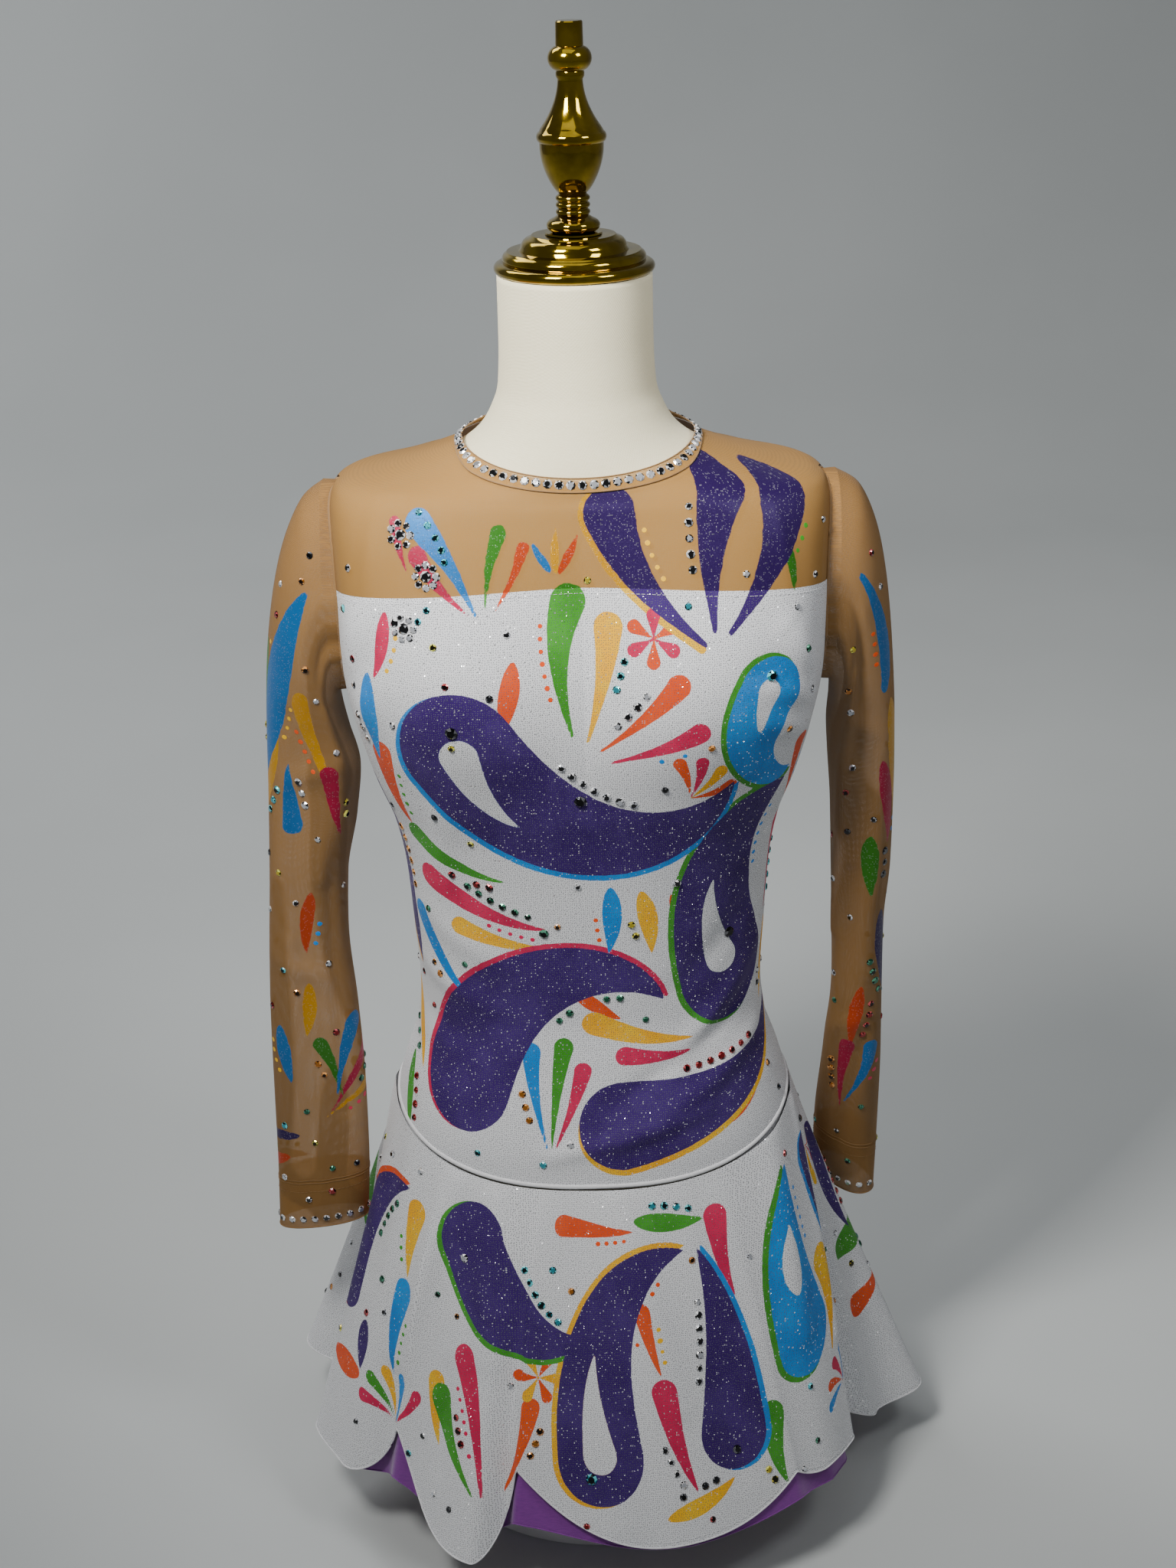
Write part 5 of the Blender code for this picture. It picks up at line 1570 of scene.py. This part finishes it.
stone_material = {}
for name, colour in STONES.items():
    material, tree, shader = new_material("stone_" + name, Coat_Weight=0.8, Coat_Roughness=0.02)
    # each stone's painted dark reflection and painted highlight are made from its own colour
    foil = use_group(tree, painted_facet_reflections, {
        "Painted Dark": lighter(colour, 0.04), "Tint": colour, "Light": lighter(colour, 1.9, 0.10)})
    lit(tree, shader, Base_Color=foil["Color"], Metallic=foil["Metallic"],
        Roughness=between(tree, noise(tree, 700.0), 0.3, 0.7, 0.05, 0.12))
    stone_material[name] = material
dot_material = {}
for name, colour in COLOURS.items():
    material, tree, shader = new_material("paint_dot_" + name, Coat_Weight=0.1)
    cloud = noise(tree, 500.0)
    lit(tree, shader, Base_Color=blended(tree, cloud, colour, lighter(colour, 1.4)),
        Roughness=between(tree, cloud, 0.3, 0.7, 0.45, 0.65))
    bumped(tree, shader, cloud, 0.0001, 0.4)
    dot_material[name] = material
print(len(stone_material), "stone materials and", len(dot_material), "dot materials")

# %% Rows that follow the strokes
random = np.random.default_rng(11)
placed = {("stone", name): [] for name in STONES} | {("dot", name): [] for name in COLOURS}
ROWS = [("stone", "clear"), ("dot", "blue"), ("stone", "emerald"), ("stone", "red"), ("dot", "raspberry"),
        ("stone", "topaz"), ("dot", "green"), ("stone", "clear"), ("dot", "yellow"), ("stone", "citrine"),
        ("stone", "black"), ("dot", "orange"), ("stone", "turquoise")]
# for stones and for dots: diameter, from the stroke's edge to the middle, and spacing, all in mm
ROW_SIZES = {"stone": (5.4, 5.2, 9.0), "dot": (3.8, 4.4, 7.6)}
ROW_APART, EDGE_TO_PAINT = 6.6, 0.6      # mm from middle to middle, and from a rim to the paint
ROW_LONGEST = 7                          # stones or dots in one row, at most
FAR_AWAY = 9999.0
taken = {cloth: [np.full((1, 2), FAR_AWAY)] for cloth in surfaces}


def keep_free(cloth, flat, clear_of_paint, apart):
    """Leaves out places on wet paint, off the cloth, or too near a stone that is set already."""
    layers = painted(cloth, flat)
    nearest = np.min(list(layers.values()), axis=0)
    grid = surfaces[cloth][0]
    chosen = []
    for place, distance in zip(flat, nearest):
        others = np.concatenate(taken[cloth] + [np.array(chosen).reshape(-1, 2)])
        on_cloth = np.min(squares(grid, place)) < LONGEST_STEP**2
        if distance > clear_of_paint and on_cloth and np.min(squares(others, place)) > apart**2:
            chosen.append(place)
    return np.array(chosen).reshape(-1, 2)


def put(cloth, kind, flat, diameter):
    if len(flat):
        taken[cloth].append(flat)
        points, outward = settle(cloth, flat)
        for point, normal in zip(points, outward):
            shape = facets if kind[0] == "stone" else blob
            size = diameter * (1 + 0.06 * random.standard_normal())
            placed[kind].append(set_on(shape(size / 2000.0, random.uniform(0, 6.28)), point, normal))


for number, stroke in enumerate(row for row in STROKES if row.colour != "cloth" and row.length > 44):
    kind = ROWS[number % len(ROWS)]
    diameter, off, spacing = ROW_SIZES[kind[0]]
    line, radius = spine(stroke)
    run = np.gradient(line, axis=0)
    side = np.stack([-run[:, 1], run[:, 0]], -1) / np.linalg.norm(run, axis=1, keepdims=True)
    for way in (1, -1) if stroke.length > 120 else (1 if number % 2 else -1,):
        beside = line + side * way * (radius + off)[:, None]
        travelled = line_lengths(beside)
        wanted = np.arange(travelled[-1] * (0.30 if way > 0 else 0.5), travelled[-1] * 0.86, spacing)
        flat = np.stack([np.interp(wanted, travelled, beside[:, axis]) for axis in (0, 1)], -1)[:ROW_LONGEST]
        flat = keep_free(stroke.cloth, flat, diameter / 2 + EDGE_TO_PAINT, ROW_APART)
        put(stroke.cloth, kind, flat, diameter)
print("in rows:", {" ".join(kind): len(items) for kind, items in placed.items()})


# %% [markdown]
# Single stones fill the free cloth between the strokes, no two of them close together. A few larger
# ones sit on and between the paisleys, and a cluster of clear crystals sits on one shoulder.

# %% Single stones and the shoulder cluster
SCATTER = [
    # cloth, tries, from across and up, to across and up
    ("front", 260, (-165, 300), (165, 745)), ("skirt", 340, (-178, -232), (178, -16)),
    ("back", 150, (-165, 300), (165, 740)),
    ("sleeve_right", 90, (-30, 220), (60, 730)), ("sleeve_left", 90, (-30, 200), (60, 730)),
]
MIXED = ["clear", "clear", "clear", "emerald", "red", "topaz", "turquoise", "black", "citrine"]
SINGLE_DIAMETER, SINGLE_TO_PAINT, SINGLE_APART = 4.9, 4.0, 17.0      # mm
for cloth, tries, low, high in SCATTER:
    spread = random.uniform(low, high, (tries, 2))
    flat = np.array([to_flat(cloth, *place)[0] for place in spread])
    flat = keep_free(cloth, flat, SINGLE_TO_PAINT, SINGLE_APART)
    for i, name in enumerate(MIXED):
        put(cloth, ("stone", name), flat[i::len(MIXED)], SINGLE_DIAMETER)

Large = namedtuple("Large", "cloth colour across up diameter")
LARGE = rows_of(
    Large,
    front=[
        # colour, across, up, diameter in mm
        ("black", -84, 618, 8.4), ("black", 99, 452, 8.0), ("turquoise", 121, 646, 7.0),
        ("black", -4, 566, 7.6), ("emerald", -30, 466, 6.6), ("clear", 58, 500, 6.6),
    ],
    skirt=[("turquoise", -2, -196, 7.6), ("black", 30, -190, 7.0), ("clear", -37, -58, 6.6)],
    back=[("black", 88, 604, 7.6), ("clear", -80, 392, 6.6)],
)
for row in LARGE:
    put(row.cloth, ("stone", row.colour), to_flat(row.cloth, row.across, row.up)[0][None], row.diameter)

CLUSTER = [(-112, 735, 7), (-96, 712, 8), (-112, 681, 7)]      # across, up, stones round the middle one
CLUSTER_RADIUS, CLUSTER_STONE, CLUSTER_MIDDLE = 6.6, 5.0, 7.6      # mm; the last two are diameters
for across, up, ways in CLUSTER:
    turn = np.arange(ways) * 2 * math.pi / ways
    ring = np.stack([across + CLUSTER_RADIUS * np.cos(turn), up + CLUSTER_RADIUS * np.sin(turn)], -1)
    put("front", ("stone", "clear"), ring, CLUSTER_STONE)
    put("front", ("stone", "clear"), np.array([[across, up]], float), CLUSTER_MIDDLE)
vine = np.linspace(0, 1, 12)
vine = np.stack([-100 + 16 * np.sin(4.0 * vine), 748 - 76 * vine], -1)
put("front", ("stone", "turquoise"), keep_free("front", vine, -math.inf, 5.6), CLUSTER_STONE)
print("with single stones:", sum(len(items) for items in placed.values()), "stones and dots")

# %% Neckband and cuffs
# cloth, its row, its columns, spacing in mm, radius of a stone
LINES = [("neckband", 7, INNER, 7.2, 0.0030), *((name, 3, slice(None), 8.6, 0.0026) for name in SLEEVES)]
for name, row, columns, spacing, radius in LINES:
    points, facing = cloth_row(name, row, columns)
    along = line_lengths(points) * 1000
    front = along[len(along) // 2]
    first, last = (3.0, along[-1] - 2.0) if name == "neckband" else (front - 40, front + 41)
    for wanted in np.arange(first, last, spacing):
        point, normal = at_length(wanted, along, points), at_length(wanted, along, facing)
        stone = set_on(facets(radius, wanted), point, normal / np.linalg.norm(normal))
        placed[("stone", "clear")].append(stone)
print("with neckband and cuffs:", sum(len(items) for items in placed.values()), "stones and dots")

# %% Join the stones and the dots
facet_chance = np.random.default_rng(5)
for (kind, name), items in placed.items():
    if items:
        material = stone_material[name] if kind == "stone" else dot_material[name]
        item = joined(f"{kind}s_{name}", items, material, smooth_faces=False)
        if kind == "stone":
            # painted reflections: each facet is picked to be painted dark, tinted or as a highlight; the flat
            # top is never a painted highlight
            cut = facet_chance.choice([0.0, 0.5, 1.0], (len(items), FACETS), p=[0.38, 0.24, 0.38])
            cut[:, -1] = facet_chance.choice([0.0, 0.5], len(items), p=[0.55, 0.45])
            write_values(item, "cut", cut, "FACE")
        show(item, "white_glitter_cloth")
        print(item.name, len(items), "pieces,", len(item.data.polygons), "faces")


# %% [markdown]
# ## The closed zip
#
# The zip runs down the centre back. Its teeth are small rounded blocks on the two edges of the tape,
# and the slider rests at the top with its pull tab hanging down.

# %% Zip teeth and slider
def block(centre, axes, size):
    """A block with cut corners; axes are three directions and size is half of each side."""
    corners = []
    for z in (-1, 1):
        for x, y in ((1, 0.5), (0.5, 1), (-0.5, 1), (-1, 0.5), (-1, -0.5), (-0.5, -1), (0.5, -1), (1, -0.5)):
            corners.append(centre + (np.array([x, y, z]) * size) @ axes)
    faces = [tuple(range(7, -1, -1)), tuple(range(8, 16))]
    return np.array(corners), faces + [(i, (i + 1) % 8, 8 + (i + 1) % 8, 8 + i) for i in range(8)]


def zip_axes(normal):
    """Across the zip, up along it and out of the cloth."""
    across = np.cross((0.0, 0.0, 1.0), normal)
    across /= np.linalg.norm(across)
    return np.stack([across, np.cross(normal, across), normal])


tape = panels["back_zip"].points
middle = tape.shape[1] // 2
tape_points, tape_normals = tape[:, middle], normals(tape)[:, middle]
# metres: from the lower end, from the upper end, from tooth to tooth, and from the middle line
TOOTH_FIRST, TOOTH_END, TOOTH_PITCH, TOOTH_ASIDE = 0.002, 0.014, 0.0015, 0.0009
along = line_lengths(tape_points)
teeth = []
for i, wanted in enumerate(np.arange(TOOTH_FIRST, along[-1] - TOOTH_END, TOOTH_PITCH)):
    normal = at_length(wanted, along, tape_normals)
    axes = zip_axes(normal / np.linalg.norm(normal))
    centre = at_length(wanted, along, tape_points) + axes[2] * 0.0006
    centre = centre + axes[0] * (TOOTH_ASIDE if i % 2 else -TOOTH_ASIDE)
    teeth.append(block(centre, axes, (0.0015, 0.0005, 0.0007)))
show(joined("zip_teeth", teeth, zip_nylon, smooth_faces=False), "zip_tape")

# up along the zip, out of the cloth, half sizes: body, bridge and pull tab
SLIDER = [(0.0, 0.0016, (0.0036, 0.0048, 0.0014)), (0.001, 0.0034, (0.0012, 0.0030, 0.0008)),
          (-0.010, 0.0036, (0.0022, 0.0080, 0.0005))]
SLIDER_ROW = -7
top, axes = tape_points[SLIDER_ROW], zip_axes(tape_normals[SLIDER_ROW])
slider = [block(top + axes[2] * out + axes[1] * up, axes, size) for up, out, size in SLIDER]
show(joined("zip_slider", slider, zip_nylon, smooth_faces=False), "zip_tape")
print("zip teeth:", len(teeth))

# %% [markdown]
# ## Stitches
#
# The last detail is thread: short overlock stitches lie across the armhole seams, and a line of
# straight stitches holds the chest seam and the turned edges of the skirt.

# %% Stitches
STITCH = [(-0.5, -0.0001), (-0.2, 0.0003), (0.2, 0.0003), (0.5, -0.0001)]      # share of its length, lift


def stitch_row(points, facing, pitch, length, radius, slant=0.0):
    """Small stitches on a line of points; slant turns them across the line."""
    along = line_lengths(points)
    made = []
    for wanted in np.arange(pitch, along[-1] - pitch, pitch):
        here, ahead = (at_length(place, along, points) for place in (wanted, wanted + pitch * 0.4))
        out = at_length(wanted, along, facing)
        run = (ahead - here) / max(np.linalg.norm(ahead - here), 1e-9)
        way = run * math.cos(slant) + np.cross(out, run) * math.sin(slant)
        made.append(tube([here + way * length * share + out * lift for share, lift in STITCH], radius, 4))
    return made


# after the sheet and its row: pitch, length and radius of a stitch in metres, and its slant
overlock, white_row = [], []
for name in SLEEVES:
    overlock += stitch_row(*cloth_row(name, -1), 0.0022, 0.0030, 0.00022, 1.1)
    overlock += stitch_row(*cloth_row(name, 13), 0.0030, 0.0020, 0.00016)
show(joined("overlock_stitches", overlock, seam_thread), "nude_mesh")
for name, row in (("bodice_front", -3), ("bodice_back", -3), ("skirt", 2)):
    white_row += stitch_row(*cloth_row(name, row), 0.0032, 0.0022, 0.00015)
show(joined("white_stitches", white_row, white_piping), "white_glitter_cloth")
print("stitches:", len(overlock), "on the mesh and", len(white_row), "on the white cloth")


# %% [markdown]
# ## Camera, floor and light
#
# The photo was taken from a little above, with the dress upright in front of a pale cloth. The camera
# looks down by 22 degrees. The floor and wall are one plain pale sweep, and the light is soft.

# %% Camera
DOWN, ROLL = math.radians(22.35), math.radians(1.30)
forward = Vector((0.0, math.cos(DOWN), -math.sin(DOWN)))
right, up = Vector((1.0, 0.0, 0.0)), Vector((0.0, math.sin(DOWN), math.cos(DOWN)))
right, up = right * math.cos(ROLL) - up * math.sin(ROLL), up * math.cos(ROLL) + right * math.sin(ROLL)
camera = bpy.data.objects.new("camera", bpy.data.cameras.new("camera"))
camera.data.lens, camera.data.sensor_width, camera.data.sensor_fit = 54.1, 36.0, "AUTO"
camera.data.clip_end = 60.0
facing = Matrix((right, up, -forward)).transposed().to_4x4()
camera.matrix_world = Matrix.Translation((0.0012, -1.478, 1.143)) @ facing
bpy.context.scene.collection.objects.link(camera)
bpy.context.scene.camera = camera
print("camera at", [round(v, 3) for v in camera.location], "lens", camera.data.lens)

# %% Floor and light
sweep_material, tree, shader = new_material("pale_backdrop", Sheen_Weight=0.1)
soft = noise(tree, 1.6, 3.0)
lit(tree, shader,
    Base_Color=blended(tree, between(tree, soft, 0.3, 0.7), srgb(203, 207, 207), srgb(209, 213, 213)),
    Roughness=between(tree, soft, 0.3, 0.7, 0.85, 0.95))
BEND_START, BEND_RADIUS = 2.4, 1.1      # where the floor turns up into the wall
bend = np.linspace(0, math.pi / 2, 24)
bend = [(BEND_START + BEND_RADIUS * math.sin(a), BEND_RADIUS - BEND_RADIUS * math.cos(a)) for a in bend]
profile = [(-3.4, 0.0), *bend, (3.5, 3.6)]
sweep_points = np.array([[(x, y, z - 0.0002) for x in np.linspace(-3.5, 3.5, 9)] for y, z in profile])
sweep = grid_mesh("sweep", sweep_points, sweep_material)


def softbox(name, location, target, size, power, colour=(1.0, 1.0, 1.0), spread=180):
    light = bpy.data.objects.new(name, bpy.data.lights.new(name, "AREA"))
    light.data.shape, light.data.size, light.data.size_y = "RECTANGLE", size[0], size[1]
    light.data.energy, light.data.color, light.data.spread = power, colour, math.radians(spread)
    look = Vector(target) - Vector(location)
    light.matrix_world = Matrix.Translation(location) @ look.to_track_quat("-Z", "Y").to_matrix().to_4x4()
    bpy.context.scene.collection.objects.link(light)


softbox("key_left", (-0.50, -0.74, 1.60), (0.0, -0.05, 0.97), (0.35, 0.35), 6.2, (1.0, 0.985, 0.95), 80)
softbox("key_right", (0.75, -0.60, 1.62), (0.0, 0.0, 0.95), (0.35, 0.35), 1.5, (0.98, 0.985, 1.0), 85)
softbox("top_fill", (-0.1, -0.3, 2.1), (0.0, 0.0, 0.6), (0.9, 0.8), 2.0)
softbox("back_fill", (-1.6, 1.5, 2.7), (-1.1, 2.5, 0.0), (2.0, 1.4), 42.0)
world = bpy.data.worlds.new("studio")
world.use_nodes = True
world.node_tree.nodes["Background"].inputs["Color"].default_value = (0.13, 0.134, 0.138, 1.0)
world.node_tree.nodes["Background"].inputs["Strength"].default_value = 1.0
bpy.context.scene.world = world
print("lights:", [light.name for light in bpy.data.lights])


# %% [markdown]
# ## Last measures
#
# Each sheet's surface area is printed beside the flat area that it was cut to.

def declare(name, area):
    print(name, "surface", round(area_of(panels[name].points), 4), "flat area", area)


declare("bodice_front", 0.142)
declare("bodice_back", 0.137)
declare("yoke_front", 0.030)
declare("yoke_back", 0.033)
declare("neckband", None)
declare("brief", 0.078)
declare("back_zip", None)
declare("sleeve_right", 0.088)
declare("sleeve_left", 0.088)
declare("skirt", 0.270)
declare("underskirt", 0.230)
bpy.context.view_layer.update()
